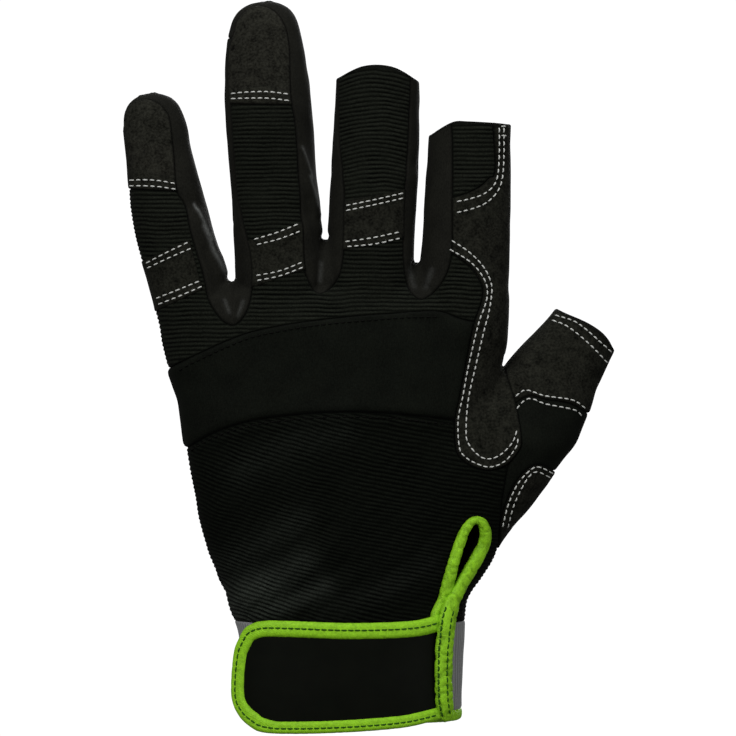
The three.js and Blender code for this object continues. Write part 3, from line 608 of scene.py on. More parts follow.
def painted_sheen(points):
    """How much painted sheen lies on the cloth, from 0 to 1."""
    return np.clip(add_lines(np.zeros(len(points)), points, on_front(points), PAINTED_SHEEN), 0, 1)


def refine(cloth):
    """A piece of cloth with each triangle in four."""
    points, faces = cloth
    edges = np.sort(np.stack([faces, np.roll(faces, -1, axis=1)], axis=2).reshape(-1, 2), axis=1)
    pairs, which = np.unique(edges, axis=0, return_inverse=True)
    ab, bc, ca = (which.reshape(-1, 3) + len(points)).T
    a, b, c = faces.T
    corners = [(a, ab, ca), (ab, b, bc), (ca, bc, c), (ab, bc, ca)]
    return (np.concatenate([points, points[pairs].mean(axis=1)]),
            np.concatenate([np.column_stack(corner) for corner in corners]))


def edges_of(faces):
    """Boundary edges in the order of their faces."""
    edges = np.concatenate([faces[:, [0, 1]], faces[:, [1, 2]], faces[:, [2, 0]]])
    ordered = np.sort(edges, axis=1)
    _, first, count = np.unique(ordered, axis=0, return_index=True, return_counts=True)
    return edges[first[count == 1]]


def edge_distance(points, faces, reach=4.0):
    """Distance of each point to the edge of its piece, at most the reach."""
    edges = edges_of(faces)
    samples = np.concatenate([points[edges[:, 0]] * (1 - t) + points[edges[:, 1]] * t
                              for t in (0, 0.25, 0.5, 0.75)])
    tree = KDTree(len(samples))
    for index, place in enumerate(samples):
        tree.insert(place, index)
    tree.balance()
    result = np.full(len(points), reach)
    low, high = samples.min(axis=0) - reach, samples.max(axis=0) + reach
    for index in np.nonzero(((points > low) & (points < high)).all(axis=1))[0]:
        result[index] = min(reach, tree.find(points[index])[2])
    return result


def in_scene(name, data):
    """A new object in the scene."""
    thing = bpy.data.objects.new(name, data)
    bpy.context.scene.collection.objects.link(thing)
    return thing


def make_piece(name, points, faces, finish, columns=None):
    """A mesh object from millimetres, smooth shaded, riding on the glove's one body."""
    mesh = bpy.data.meshes.new(name)
    mesh.vertices.add(len(points))
    mesh.vertices.foreach_set("co", (np.asarray(points, float) * MM).ravel())
    faces = np.asarray(faces, int)
    sides = faces.shape[1]
    mesh.loops.add(faces.size)
    mesh.loops.foreach_set("vertex_index", faces.ravel())
    mesh.polygons.add(len(faces))
    mesh.polygons.foreach_set("loop_start", np.arange(len(faces)) * sides)
    mesh.update(calc_edges=True)
    mesh.shade_smooth()
    for key, value in (columns or {}).items():
        mesh.attributes.new(key, "FLOAT", "POINT").data.foreach_set("value", np.asarray(value, np.float32))
    mesh.materials.append(finish)
    piece = in_scene(name, mesh)
    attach(piece, "root")
    return piece


def rim_walls(top, low):
    """Two triangles for each edge between an upper and a lower rim."""
    return [np.column_stack([top[:, 1], top[:, 0], low[:, 0]]),
            np.column_stack([top[:, 1], low[:, 0], low[:, 1]])]


# Outer faces of the panels, which the stitches lie on
FRONT = []


def quarter_round(distance, width):
    """0 inside a piece, 1 at its edge, rounded in between."""
    t = 1 - np.clip(distance / width, 0, 1)
    return 1 - np.sqrt(np.maximum(0, 1 - t * t))


def panel(name, cloth, finish, lift=0.0, edge=(0.6, 1.2), bottom=-WALL, ribs=None,
          rib_height=0.34):
    """One sewn panel with its outer face, its inner face and its rim."""
    points, faces = cloth
    near = edge_distance(points, faces)
    for ring in (0.35 * edge[1], edge[1]):
        points, faces, _, near = cut(points, faces, near.ravel() - ring, near.reshape(-1, 1))
    near = near.ravel()
    wave = np.zeros(len(points))
    if ribs:
        phase = ribs(points)
        levels = np.arange(math.ceil(phase.min() * 2), math.floor(phase.max() * 2) + 1) / 2
        carried = np.column_stack([near, phase])
        for level in levels:
            points, faces, _, carried = cut(points, faces, (carried[:, 1] - level) * 1.3, carried)
        near, phase = carried.T
        wave = 0.5 - np.abs((phase % 1) - 0.5) * 2
        wave *= np.clip(near / 0.8, 0, 1) * (0.8 + 0.3 * soft_noise(points, 4, 11))
    normal = unit(slope_of(points))
    rise = drape(points) + lift - edge[0] * quarter_round(near, edge[1]) + rib_height * wave
    outer = points + normal * rise[:, None]
    inner = points + normal * (bottom + np.minimum(drape(points), 0))[:, None]
    rim = edges_of(faces)
    rim_points, which = np.unique(rim, return_inverse=True)
    which = which.reshape(-1, 2)
    count = len(points)
    top = 2 * count + which
    low = top + len(rim_points)
    every = np.concatenate([outer, inner, outer[rim_points], inner[rim_points]])
    # Painted shade for the colour: rib crests paler, rib troughs darker, the inner face even and the rim
    # walls darker
    shade = np.concatenate([wave + 0.5, np.full(count, 0.5), np.full(2 * len(rim_points), 0.3)])
    # Painted shade: the cloth is painted darker close to every seam and along the hems of the open finger
    # ends
    seam_shade_distance = near * (1 - 0.9 * np.clip(hem_share(outer), 0, 1))
    seam_shade_every = np.concatenate([seam_shade_distance, seam_shade_distance, np.zeros(2 * len(rim_points))])
    # Painted sheen along the given lines, on the front only
    painted_sheen_share = painted_sheen(points)
    painted_sheen_share = np.concatenate([painted_sheen_share, painted_sheen_share * 0, np.zeros(2 * len(rim_points))])
    all_faces = np.concatenate([faces, faces[:, ::-1] + count, *rim_walls(top, low)])
    piece = make_piece(name + "_cloth", every, all_faces, finish,
                       {"rib": shade, "near": seam_shade_every, "painted_sheen": painted_sheen_share})
    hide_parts(name)
    FRONT.append((outer, faces))
    return piece


class Wire:
    """A number in a shader that takes part in Python sums."""

    def __init__(self, finish, socket):
        self.finish = finish
        self.socket = socket

    def sum(self, operation, first, second):
        return self.finish.add("Math", {"operation": operation}, {0: first, 1: second})

    def __add__(self, other):
        return self.sum("ADD", self, other)

    def __radd__(self, other):
        return self.sum("ADD", other, self)

    def __sub__(self, other):
        return self.sum("SUBTRACT", self, other)

    def __rsub__(self, other):
        return self.sum("SUBTRACT", other, self)

    def __mul__(self, other):
        return self.sum("MULTIPLY", self, other)


class Finish:
    """A material with one principled shader. Constants go straight to its sockets."""

    def __init__(self, name, **constants):
        self.material = bpy.data.materials.new(name)
        self.material.use_nodes = True
        self.nodes = self.material.node_tree.nodes
        self.links = self.material.node_tree.links
        self.shader = self.nodes["Principled BSDF"]
        for key, value in constants.items():
            self.set(self.shader.inputs[key.replace("_", " ")], value)
        self.place = self.add("VectorMath", {"operation": "SCALE"},
                              {0: self.add("TexCoord", output="Object"), "Scale": 1 / MM})

    def set(self, socket, value):
        if isinstance(value, Wire):
            self.links.new(value.socket, socket)
        elif isinstance(value, tuple) and len(value) == 3 and socket.type == "RGBA":
            socket.default_value = (*value, 1)
        else:
            socket.default_value = value

    def add(self, kind, settings=None, inputs=None, output=0):
        node = self.nodes.new("ShaderNode" + kind)
        for key, value in (settings or {}).items():
            setattr(node, key, value)
        for key, value in (inputs or {}).items():
            self.set(node.inputs[key], value)
        return Wire(self, node.outputs[output])

    def noise(self, scale, detail=2.0, stretch=(1, 1, 1)):
        place = self.add("VectorMath", {"operation": "MULTIPLY"}, {0: self.place, 1: stretch})
        return self.add("TexNoise", {}, {"Vector": place, "Scale": scale, "Detail": detail})

    def strong(self, wire, gain):
        """A noise pulled apart round its middle, within 0 and 1."""
        return self.add("Math", {"operation": "ADD", "use_clamp": True}, {0: (wire - 0.5) * gain, 1: 0.5})

    def mix(self, share, first, second):
        return self.add("Mix", {"data_type": "RGBA"}, {0: share, 6: first, 7: second}, output=2)

    def attribute(self, name):
        return self.add("Attribute", {"attribute_name": name}, output="Fac")

    def dressed(self, tone, dark, pale, sheen_colour):
        """Cloth with painted shade, darkest in its seams and hems, and painted sheen along given lines."""
        # Painted shade in the seams and hems, darkest where the near distance is small
        seam = self.add("Math", {"operation": "MULTIPLY", "use_clamp": True},
                        {0: self.attribute("near"), 1: 1.5})
        cloth = self.mix(tone * (seam * 0.8 + 0.2), dark, pale)
        # Painted sheen: paler towards the sheen colour along the sheen lines
        return self.mix(self.attribute("painted_sheen") * tone * 1.3, cloth, sheen_colour)

    def wear(self, **wires):
        for key, value in wires.items():
            self.set(self.shader.inputs[key.replace("_", " ")], value)
        return self

    def bump(self, height, strength, distance):
        wire = self.add("Bump", {}, {"Height": height, "Strength": strength, "Distance": distance * MM})
        self.set(self.shader.inputs["Normal"], wire)
        return self


def ribbed_cloth(name, pale):
    cloth = Finish(name, Sheen_Weight=0.01, Sheen_Roughness=0.5, Specular_IOR_Level=0.035)
    rib = cloth.attribute("rib")
    grain = cloth.strong(cloth.noise(2.2, 2, (1, 1, 1.6)), 2.2)
    patch = cloth.strong(cloth.noise(0.09, 2), 2)
    # Painted shade and highlight on the ribs: crests paler, troughs darker
    tone = rib * (grain * 0.75 + 0.45) + patch * 0.12 - 0.12
    # The last colour is the painted sheen
    cloth.wear(Base_Color=cloth.dressed(tone, (0, 0.0001, 0), pale, (0.06, 0.07, 0.058)),
               Roughness=0.95 - rib * 0.15)
    return cloth.bump(grain + cloth.noise(7, 2) * 0.5, 0.5, 0.12).material


def suede(name, dark, pale):
    cloth = Finish(name, Sheen_Weight=0.015, Sheen_Roughness=0.45, Specular_IOR_Level=0.04)
    grain = cloth.strong(cloth.noise(1.3, 3), 3.4)
    nap = cloth.strong(cloth.noise(0.3, 3), 2.4)
    tone = grain * 0.5 + nap * 0.5
    # The painted sheen uses the pale colour
    cloth.wear(Base_Color=cloth.dressed(tone, dark, pale, pale), Roughness=0.95 - grain * 0.12)
    return cloth.bump(grain + nap * 0.8, 0.55, 0.16).material


def smooth_knit(name, dark, pale):
    cloth = Finish(name, Sheen_Weight=0.01, Sheen_Roughness=0.5, Specular_IOR_Level=0.06)
    knit = cloth.strong(cloth.noise(2.4, 2, (1, 1, 0.6)), 1.8)
    cloud = cloth.strong(cloth.noise(0.12, 2), 2)
    # The last colour is the painted sheen of the streaks on the strips
    cloth.wear(Base_Color=cloth.dressed(knit * 0.6 + cloud * 0.4, dark, pale, (0.12, 0.125, 0.12)),
               Roughness=0.88 - knit * 0.12)
    return cloth.bump(knit, 0.4, 0.1).material


def elastic_band():
    cloth = Finish("grey_elastic", Specular_IOR_Level=0.3, Sheen_Weight=0.1)
    ridge_shade = cloth.attribute("rib")
    weave = cloth.noise(3.5, 2, (0.5, 1, 2))
    # Painted shade on the band's ribs: crests paler, troughs darker
    cloth.wear(Base_Color=cloth.mix(ridge_shade * 0.6 + weave * 0.4, (0.085, 0.088, 0.089), (0.34, 0.35, 0.35)),
               Roughness=0.85 - weave * 0.1)
    return cloth.bump(weave, 0.5, 0.2).material


def lime_tape():
    tape = Finish("lime_tape", Specular_IOR_Level=0.2)
    tape_shade = tape.attribute("tape_shade")
    weave = tape.add("TexWave", {"wave_type": "BANDS", "bands_direction": "DIAGONAL"},
                     {"Vector": tape.place, "Scale": 0.9, "Distortion": 1.5, "Detail": 1.0})
    grain = tape.strong(tape.noise(1.8, 3), 2.4)
    cloud = tape.strong(tape.noise(0.5, 2), 2.6)
    # Most of the tape's tone is painted shade, darker in its creases and paler on its upper side
    tone = tape_shade * 0.85 + weave * 0.07 + grain * 0.28 + cloud * 0.18 - 0.13
    tape.wear(Base_Color=tape.mix(tone, (0.016, 0.062, 0.0015), (0.33, 0.72, 0.017)),
              Roughness=0.62 - grain * 0.12)
    return tape.bump(weave * 0.6 + grain, 0.5, 0.14).material


def moulded_tab():
    tab = Finish("moulded_tab", Specular_IOR_Level=0.06)
    cloud = tab.noise(0.2, 3)
    grain = tab.noise(5, 2)
    tone = cloud * 0.6 + grain * 0.4
    tab.wear(Base_Color=tab.mix(tone, (0.0006, 0.0009, 0.0004), (0.0036, 0.0046, 0.0024)),
             Roughness=0.52 + grain * 0.14)
    return tab.bump(grain, 0.25, 0.06).material


def thread(name, dark, pale, roughness):
    yarn = Finish(name, Specular_IOR_Level=0.08)
    strand = yarn.noise(4.0, 2)
    yarn.wear(Base_Color=yarn.mix(strand, dark, pale), Roughness=roughness + strand * 0.1)
    return yarn.bump(strand, 0.4, 0.08).material


RIBBED = ribbed_cloth("ribbed_cloth", (0.0165, 0.019, 0.0135))
RIBBED_LOWER = ribbed_cloth("ribbed_cloth_lower", (0.0065, 0.0082, 0.0054))
SUEDE = suede("suede_cap", (0.0018, 0.0018, 0.0013), (0.0235, 0.0235, 0.018))
PATCH_SUEDE = suede("suede_patch", (0.0014, 0.0015, 0.001), (0.0182, 0.0184, 0.0137))
SMOOTH = smooth_knit("smooth_knit", (0.0007, 0.001, 0.0005), (0.0053, 0.0067, 0.0042))
STRIP = smooth_knit("strip_knit", (0.0022, 0.0022, 0.0016), (0.0122, 0.0122, 0.0092))
GREY = elastic_band()
LIME = lime_tape()
TAB = moulded_tab()
WHITE_THREAD = thread("white_thread", (0.3, 0.31, 0.29), (0.78, 0.79, 0.75), 0.6)
BLACK_THREAD = thread("black_thread", (0.001, 0.001, 0.001), (0.004, 0.004, 0.003), 0.8)
GREEN_THREAD = thread("green_thread", (0.012, 0.055, 0.004), (0.03, 0.12, 0.008), 0.6)


def under(height):
    return lambda points: points[:, 2] - height


# Cut the filled form into the glove's panels, in the order of its seams
whole = skin()
wrist_cloth = part(whole, under(WRIST_TOP))[0]
_, whole = part(whole, under(OPENING_HEIGHT))
for finger, edge in zip(OPEN_ENDS, HEM_LINES):
    far = [on_finger(finger, 1.6, 1.25), on_finger(finger, 1.6, -1.25)]
    _, whole = part(whole, within([*edge, *far]))
cuff, hand = part(whole, under(CUFF_HEIGHT))


def waver(points):
    return 0.4 * soft_noise(points, 9, 21) + 0.18 * soft_noise(points, 3.5, 33)


def rib_by_height(points):
    return (points[:, 2] + waver(points)) / RIB_PITCH


def rib_arched(points):
    middle = on_finger("middle", 0.6, 0)[0]
    across = np.clip((points[:, 0] - middle) / 14.1, -1, 1)
    on_middle = np.exp(-((points[:, 0] - middle) / 15) ** 6) * np.clip((points[:, 2] - 150) / 30, 0, 1)
    return (points[:, 2] + waver(points) + 3.2 * on_middle * across ** 2) / RIB_PITCH


def rib_slanted(points):
    x, z = points[:, 0], points[:, 2]
    return (z + waver(points) + 0.24 * x - 0.0012 * x * x + 0.5 * np.sin(z / 9)) / LOWER_RIB_PITCH


def rib_upright(points):
    return np.abs(np.arctan2(points[:, 0], points[:, 1])) * CUFF_RIBS / (2 * np.pi)


def is_back(points):
    x, z = points[:, 0], points[:, 2]
    thumb_inside = 5 * np.exp(-((x - THUMB_INSIDE[0]) ** 2 + (z - THUMB_INSIDE[1]) ** 2) / 140)
    return points[:, 1] - seam_depth(x, z) - SEAM_BEHIND - thumb_inside


rest = hand
for name, seam in FOURCHETTES.items():
    strip, rest = part(rest, within(smooth(on_photo(seam), 4)))
    panel(name, refine(strip), STRIP, edge=(0.55, 1.0))

back, palm_side = part(rest, is_back)
thumb_palm, palm = part(palm_side, within([on_palm(share) for share in THUMB_EDGE]))
panel("thumb_palm", thumb_palm, PATCH_SUEDE, lift=0.3)
for name, (finger, start) in PALM_CREASES.items():
    finger_palm, palm = part(palm, within(end_outline(finger, start)))
    panel(name, finger_palm, PATCH_SUEDE)
panel("palm", palm, PATCH_SUEDE)

_, back = part(back, within(smooth(on_photo(SLIT_HOLE), 4, closed=True)))
saddle, back = part(back, within(palm_share(SADDLE_EDGE, closed=True, steps=4)))
panel("index_saddle", saddle, PATCH_SUEDE, lift=0.55, edge=(0.55, 0.8))
thumb, back = part(back, within([on_palm(share) for share in THUMB_EDGE]))
thumb_patch, thumb = part(thumb, within(palm_share(THUMB_PATCH_EDGE, closed=True, steps=4)))
mid_seam = palm_share(THUMB_MID_SEAM)
thumb_upper, thumb_lower = part(thumb, within([*mid_seam, (160, 70), (160, 180), (30, 180)]))
panel("thumb_upper", thumb_upper, PATCH_SUEDE, lift=0.3)
panel("thumb_lower", thumb_lower, SMOOTH)
panel("thumb_base_patch", thumb_patch, PATCH_SUEDE, lift=0.5, edge=(0.55, 0.8))

for name, (finger, start, tilt) in CAPS.items():
    cap, back = part(back, within(end_outline(finger, start, tilt)))
    panel(name, cap, SUEDE, lift=0.3, edge=(0.45, 0.8))

lower_line = palm_share(LOWER_SEAM)
upper_line = palm_share(UPPER_SEAM)
lower, back = part(back, below_line(lower_line))
band, upper = part(back, below_line(upper_line))
panel("back_lower", lower, RIBBED_LOWER, ribs=rib_slanted)
index_back, upper = part(upper, within(end_outline("index", INDEX_BACK_FROM)))
panel("index_back", index_back, RIBBED, ribs=rib_by_height)
panel("back_upper", upper, RIBBED, ribs=rib_arched)
knuckles = panel("knuckle_band", band, SMOOTH, lift=0.9, edge=(1.4, 2.2))

for name, outline in PATCHES.items():
    patch, _ = part(part(rest, is_back)[0], within(patch_outline(*outline)))
    panel(name, patch, PATCH_SUEDE, lift=0.35, edge=(0.3, 0.6), bottom=-0.3)

_, band_cloth = part(cuff, under(HEM_HEIGHT))
panel("cuff_band", band_cloth, GREY, edge=(0.3, 0.8), ribs=rib_upright, rib_height=0.2)


def joined(meshes):
    """The points and faces of several meshes as one."""
    points, faces, count = [], [], 0
    for mesh in meshes:
        points.append(mesh[0])
        faces.append(mesh[1] + count)
        count += len(mesh[0])
    return np.concatenate(points), np.concatenate(faces)


def tree_of(meshes):
    """A search tree over several meshes together."""
    points, faces = joined(meshes)
    return BVHTree.FromPolygons(points.tolist(), faces.tolist())


def onto(tree, flat):
    """Where the camera sees points of its picture plane on a surface: places and normals."""
    places, normals = [], []
    camera_place = Vector(CAMERA_PLACE)
    for x, z in flat:
        hit = None
        shrink = 0.0
        while hit is None and shrink < 6:
            towards = -math.copysign(shrink, x)
            hit, normal, _, _ = tree.ray_cast(camera_place, Vector((x + towards, 0, z)) - camera_place)
            shrink += 0.15
        if hit is None:
            hit, normal = Vector((x, 0, z)), Vector((0, -1, 0))
        places.append(hit)
        normals.append(normal)
    return np.array(places), np.array(normals)


def run_along(line):
    """The length from the start of a line to each of its points."""
    return np.concatenate([[0], np.cumsum(np.linalg.norm(np.diff(line, axis=0), axis=1))])


def sampled(line, run, at):
    """Points of a line at given lengths along it."""
    return np.stack([np.interp(at, run, column) for column in line.T], axis=1)


def squarish(shares, power):
    """Cosines or sines of a circle, moved out to a rounded square."""
    return np.sign(shares) * np.abs(shares) ** (2 / power)


def sweep(places, normals, half_width, half_height, sides, groove=0.0, power=TAPE_SQUARENESS, crinkle=0.0):
    """A tape or tube along places, flat side on the normals: its points, faces and painted shade."""
    tangent = unit(np.gradient(places, axis=0))
    across = unit(np.cross(tangent, normals))
    normal = np.cross(across, tangent)
    angle = 2 * np.pi * (np.arange(sides) + 0.5) / sides
    c, s = np.cos(angle), np.sin(angle)
    wide, high = squarish(c, power), squarish(s, power)
    high = np.where(s > 0, high - groove * np.exp(-(wide / 0.25) ** 2), high)
    wide, high = wide * half_width[:, None], high * half_height[:, None]
    tape_shade = np.full((len(places), sides), 0.5)
    if crinkle:
        run = run_along(places)
        spots = np.stack(np.broadcast_arrays(run[:, None], 1.2 * c, 1.2 * s), axis=-1).reshape(-1, 3)
        lumps = soft_noise(spots, (2.4, 1.5, 1.5), 3) + 0.6 * soft_noise(spots, (1.2, 0.9, 0.9), 9)
        crease = np.clip(1 - 3.2 * np.abs(lumps), 0, 1).reshape(len(places), -1)
        # Painted shade: darker in the creases and paler on the upper side of the tape
        tape_shade = (0.8 - crease * min(0.45, 2.8 * crinkle)) * (0.72 + 0.28 * np.maximum(s, 0))
        wide, high = wide * (1 - crinkle * crease), high * (1 - 2 * crinkle * crease)
    rings = places[:, None] + across[:, None] * wide[:, :, None] + normal[:, None] * high[:, :, None]
    count = len(places)
    start = np.arange(sides)
    after = np.roll(start, -1)
    faces = []
    for ring in range(count - 1):
        a, b = ring * sides + start, ring * sides + after
        faces += [np.column_stack([a, b, b + sides]), np.column_stack([a, b + sides, a + sides])]
    points = np.concatenate([rings.reshape(-1, 3), places[:1], places[-1:]])
    faces.append(np.column_stack([after, start, np.full(sides, count * sides)]))
    last = (count - 1) * sides
    faces.append(np.column_stack([last + start, last + after, np.full(sides, count * sides + 1)]))
    return points, np.concatenate(faces), np.concatenate([tape_shade.ravel(), [0.5, 0.5]])


def even(line, step):
    """Points along a line at an even step."""
    line = np.asarray(line, float)
    run = run_along(line[:, :2])
    return sampled(line, run, np.linspace(0, run[-1], max(2, int(run[-1] / step) + 1)))


# The closing tab, its binding and the binding round the slit
def tab_rise(x, z):
    """How far the tab stands in front of the wrist's middle. Its free end curves less than the wrist."""
    reach = np.where(x < 0, TAB_REACH, HAND["table"][TAB_ROW, 2] + STRAP_LIFT)
    deep = np.interp(z, HAND["table"][:, 0], HAND["table"][:, 3]) + STRAP_LIFT
    return deep * (1 - np.clip(np.abs(x) / reach, 0, 0.999) ** 2.5) ** 0.4


def tab_normals(points):
    x, z = points[:, 0], points[:, 2]
    step = 0.1
    across = (tab_rise(x + step, z) - tab_rise(x - step, z)) / (2 * step)
    up = (tab_rise(x, z + step) - tab_rise(x, z - step)) / (2 * step)
    return unit(np.column_stack([-across, -np.ones(len(x)), -up]))


tab_x, tab_z = np.meshgrid(np.arange(-40, 39.1, TAB_MESH), np.arange(-7, 45.1, TAB_MESH), indexing="ij")
tab_number = np.arange(tab_x.size).reshape(tab_x.shape)
corner, right_of, above, beyond = (tab_number[:-1, :-1].ravel(), tab_number[1:, :-1].ravel(),
                                   tab_number[:-1, 1:].ravel(), tab_number[1:, 1:].ravel())
lifted = (np.column_stack([tab_x.ravel(), -tab_rise(tab_x.ravel(), tab_z.ravel()), tab_z.ravel()]),
          np.concatenate([np.column_stack([corner, right_of, beyond]),
                          np.column_stack([corner, beyond, above])]))
lifted_tree = tree_of([lifted])
strap_line = smooth(on_photo(STRAP_OUTLINE), 6)
strap_cloth, _ = part(lifted, lambda points: outline_distance(points, strap_line) + 1.2)


def closed_slab(outer, inner, faces):
    """Points and faces of a slab with an outer face, an inner face and a straight rim."""
    rim = edges_of(faces)
    count = len(outer)
    return (np.concatenate([outer, inner]),
            np.concatenate([faces, faces[:, ::-1] + count, *rim_walls(rim, rim + count)]))


def tab(name, cloth):
    """The closing tab, slightly crowned in its middle."""
    points, faces = cloth
    near = edge_distance(points, faces, TAB_CROWN_REACH)
    normal = tab_normals(points)
    crown = TAB_RISE * (1 - quarter_round(near, TAB_CROWN_REACH)) + 0.12 * soft_noise(points, 14, 5)
    slab = closed_slab(points + normal * (TAB_RISE + crown)[:, None], points - normal * TAB_BACK, faces)
    piece = make_piece(name + "_body", *slab, TAB)
    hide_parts(name)


tab("strap", strap_cloth)


def tape(line, lift, half_width, half_height, tree, groove=0.0, crinkle=0.0):
    """A binding tape along a line of x and z, with small puckers along it."""
    lift = np.asarray(lift)
    towards = np.array(line)
    for _ in range(4):
        places, normals = onto(tree, towards)
        normals = unit(smooth_rows(normals, 3))
        places = places + normals * lift[:, None]
        towards = towards + (line - seen(places))
    mesh = sweep(places, normals, half_width, half_height, sides=24, groove=groove, crinkle=crinkle)
    return mesh, places, normals


def smooth_rows(rows, times):
    rows = rows.copy()
    for _ in range(times):
        rows[1:-1] = (rows[:-2] + 2 * rows[1:-1] + rows[2:]) / 4
    return rows


def lime_binding(name, node, mesh):
    """One lime tape from a sweep, in the place of a node."""
    points, faces, tape_shade = mesh
    piece = make_piece(name, points, faces, LIME, {"tape_shade": tape_shade})
    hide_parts(node)


inset = even(strap_line, 0.6)
edge_middle = strap_line.mean(axis=0)
outward = unit(np.stack([np.gradient(inset[:, 1]), -np.gradient(inset[:, 0])], axis=1))
if (outward * (inset - edge_middle)).sum() < 0:
    outward = -outward
top_side = np.clip((inset[:, 1] - 22) / 8, 0, 1)
left_side = np.clip((-22 - inset[:, 0]) / 8, 0, 1)
half = 2.0 + 0.6 * np.maximum(top_side, left_side)
strap_middle = inset - outward * half[:, None]
mesh, strap_places, strap_normals = tape(strap_middle, np.full(len(inset), 0.2), half,
                                         np.full(len(inset), 1.35), lifted_tree, groove=0.22, crinkle=0.03)
lime_binding("strap_tape", "strap_binding", mesh)

slit_rows = np.array(SLIT_BINDING, float)
slit_line = even(smooth(np.column_stack([on_photo(slit_rows[:, :2]), slit_rows[:, 2:]]), 8), 0.45)
base_tree = tree_of([wrist_cloth, hand])
mesh, slit_places, slit_normals = tape(slit_line[:, :2], slit_line[:, 2], slit_line[:, 3],
                                       slit_line[:, 4], base_tree, crinkle=0.11)
lime_binding("slit_tape", "slit_binding", mesh)

# Binding round the wrist opening
turn = np.linspace(0, 2 * np.pi, 361)
hem_row = HAND["table"][np.abs(HAND["table"][:, 0] - HEM_TAPE_HEIGHT / 2).argmin()]
hem_wide, hem_deep = (squarish(share, SQUARENESS["hand"]) for share in (np.cos(turn), np.sin(turn)))
hem_places = np.column_stack([hem_row[1] + hem_wide * (hem_row[2] - 0.8), hem_deep * (hem_row[3] - 0.4),
                              np.full(len(turn), HEM_TAPE_HEIGHT)])
hem_normals = unit(np.column_stack([hem_wide / hem_row[2], hem_deep / hem_row[3], np.zeros(len(turn))]))
hem_half = [np.full(len(turn), half_size) for half_size in HEM_TAPE_HALF]
hem_mesh = sweep(hem_places, hem_normals, *hem_half, sides=24, crinkle=0.04)
lime_binding("hem_tape", "hem_binding", hem_mesh)

# The pad under the tab
pad_outline = on_photo([(272, 650), (400, 650), (400, 706), (272, 706)])
pad_cloth, _ = part(part(wrist_cloth, lambda points: points[:, 1])[0], within(pad_outline))
pad_normals = unit(slope_of(pad_cloth[0]))
pad_slab = closed_slab(pad_cloth[0] + pad_normals * PAD_TOP,
                       pad_cloth[0] + pad_normals * PAD_BOTTOM, pad_cloth[1])
pad = make_piece("strap_pad", *pad_slab, SMOOTH)
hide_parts("strap_fastener")

# Stitches: lines in photo pixels
WHITE_LINES = {
    "cap_stitches": [
        [(128, 180.5), (145, 180), (160, 181), (176, 184)], [(128, 186), (145, 186), (160, 187),
                                                             (177, 189.5)],
        [(230, 94), (245, 92.5), (268, 92), (289, 94.5)], [(230, 99), (245, 98.5), (268, 98.5),
                                                           (290, 101)]],
    "patch_stitches": [
        [(145, 264), (168, 252), (189, 242)], [(146, 269), (169, 258), (192, 248)],
        [(155, 299), (178, 290), (200, 281)], [(157, 305), (180, 296), (203, 286)],
        [(253, 240), (276, 233), (299, 224)], [(256, 245), (278, 239.5), (301, 231)],
        [(255, 276), (280, 271), (303, 262)], [(256, 281), (280, 276), (304, 267)],
        [(345, 206), (374, 200), (404, 193)], [(345, 211), (374, 205), (404, 198)],
        [(344, 242), (372, 238), (400, 232)], [(346, 247), (373, 244), (401, 238)]],
    "saddle_stitches": [
        [(499, 127), (499, 150), (498, 172), (494, 185), (484, 194), (470, 199), (456, 202)],
        [(503.5, 127), (503.5, 155), (502, 178), (497, 192), (486, 203), (472, 209), (456, 213)],
        [(499, 126.5), (508, 126.5)], [(500, 135.5), (508, 136)],
        [(451, 240), (470, 253), (484, 268), (491, 284), (491, 297), (488, 315), (484, 330), (475, 368),
         (468, 400), (466, 430), (468, 443), (478, 455), (488, 459), (500, 455), (512, 443), (517, 430)],
        [(449, 249), (466, 259), (478, 270), (486, 284), (487, 296), (484, 308), (478, 325), (468, 368),
         (463, 395), (458, 420), (459, 445), (463, 455), (475, 463), (490, 467), (505, 461), (516, 447),
         (518, 438)]],
    "thumb_stitches": [
        [(554, 315), (577, 323), (600, 342), (612, 353)], [(551, 320), (568, 327), (590, 345),
                                                           (608, 364)],
        [(515, 397), (523, 391), (530, 391), (545, 396), (572, 400), (586, 409)],
        [(516, 410), (524, 401), (532, 399), (545, 404), (574, 410), (582, 417)],
        [(502, 528), (508, 505), (517, 485), (528, 472), (538, 467), (554, 474)],
        [(507, 529), (513, 507), (521, 489), (530, 475), (538, 472), (551, 478)]],
}
BLACK_LINES = {
    "band_stitches": [
        [(190, 451), (215, 437), (250, 426), (300, 419), (350, 417), (400, 419), (452, 425)],
        [(178, 371), (192, 363), (231, 345), (261, 335), (320, 325), (400, 318), (438, 317)]],
}
STITCH_PITCH = 2.05
STITCH_LENGTH = 1.4
STITCH_RADIUS = 0.225
# Stitches on the lime tapes
TAPE_PITCH = 2.1
TAPE_STITCH_LENGTH = 1.5
TAPE_STITCH_RADIUS = 0.27


def stitch_row(line, tree):
    """Short threads that dip into the cloth at both ends."""
    line = even(smooth(line, 8), 0.2)
    run = run_along(line)
    count = max(1, int(run[-1] / STITCH_PITCH))
    meshes = []
    for index in range(count):
        middle = (index + 0.5) * run[-1] / count
        jitter = RANDOM.uniform(-0.12, 0.12, 2)
        share = np.linspace(-0.5, 0.5, 7)
        at = middle + share * (STITCH_LENGTH + jitter[0])
        places, normals = onto(tree, sampled(line, run, at))
        normals = unit(np.tile(normals.mean(axis=0), (7, 1)))
        arch = STITCH_RADIUS * (1.05 - 5.2 * share ** 2)
        places = places + normals * arch[:, None]
        thick = STITCH_RADIUS * (1 - 0.5 * (2 * np.abs(share)) ** 4)
        meshes.append(sweep(places, normals, thick, thick, sides=8, power=2))
    return joined(meshes)


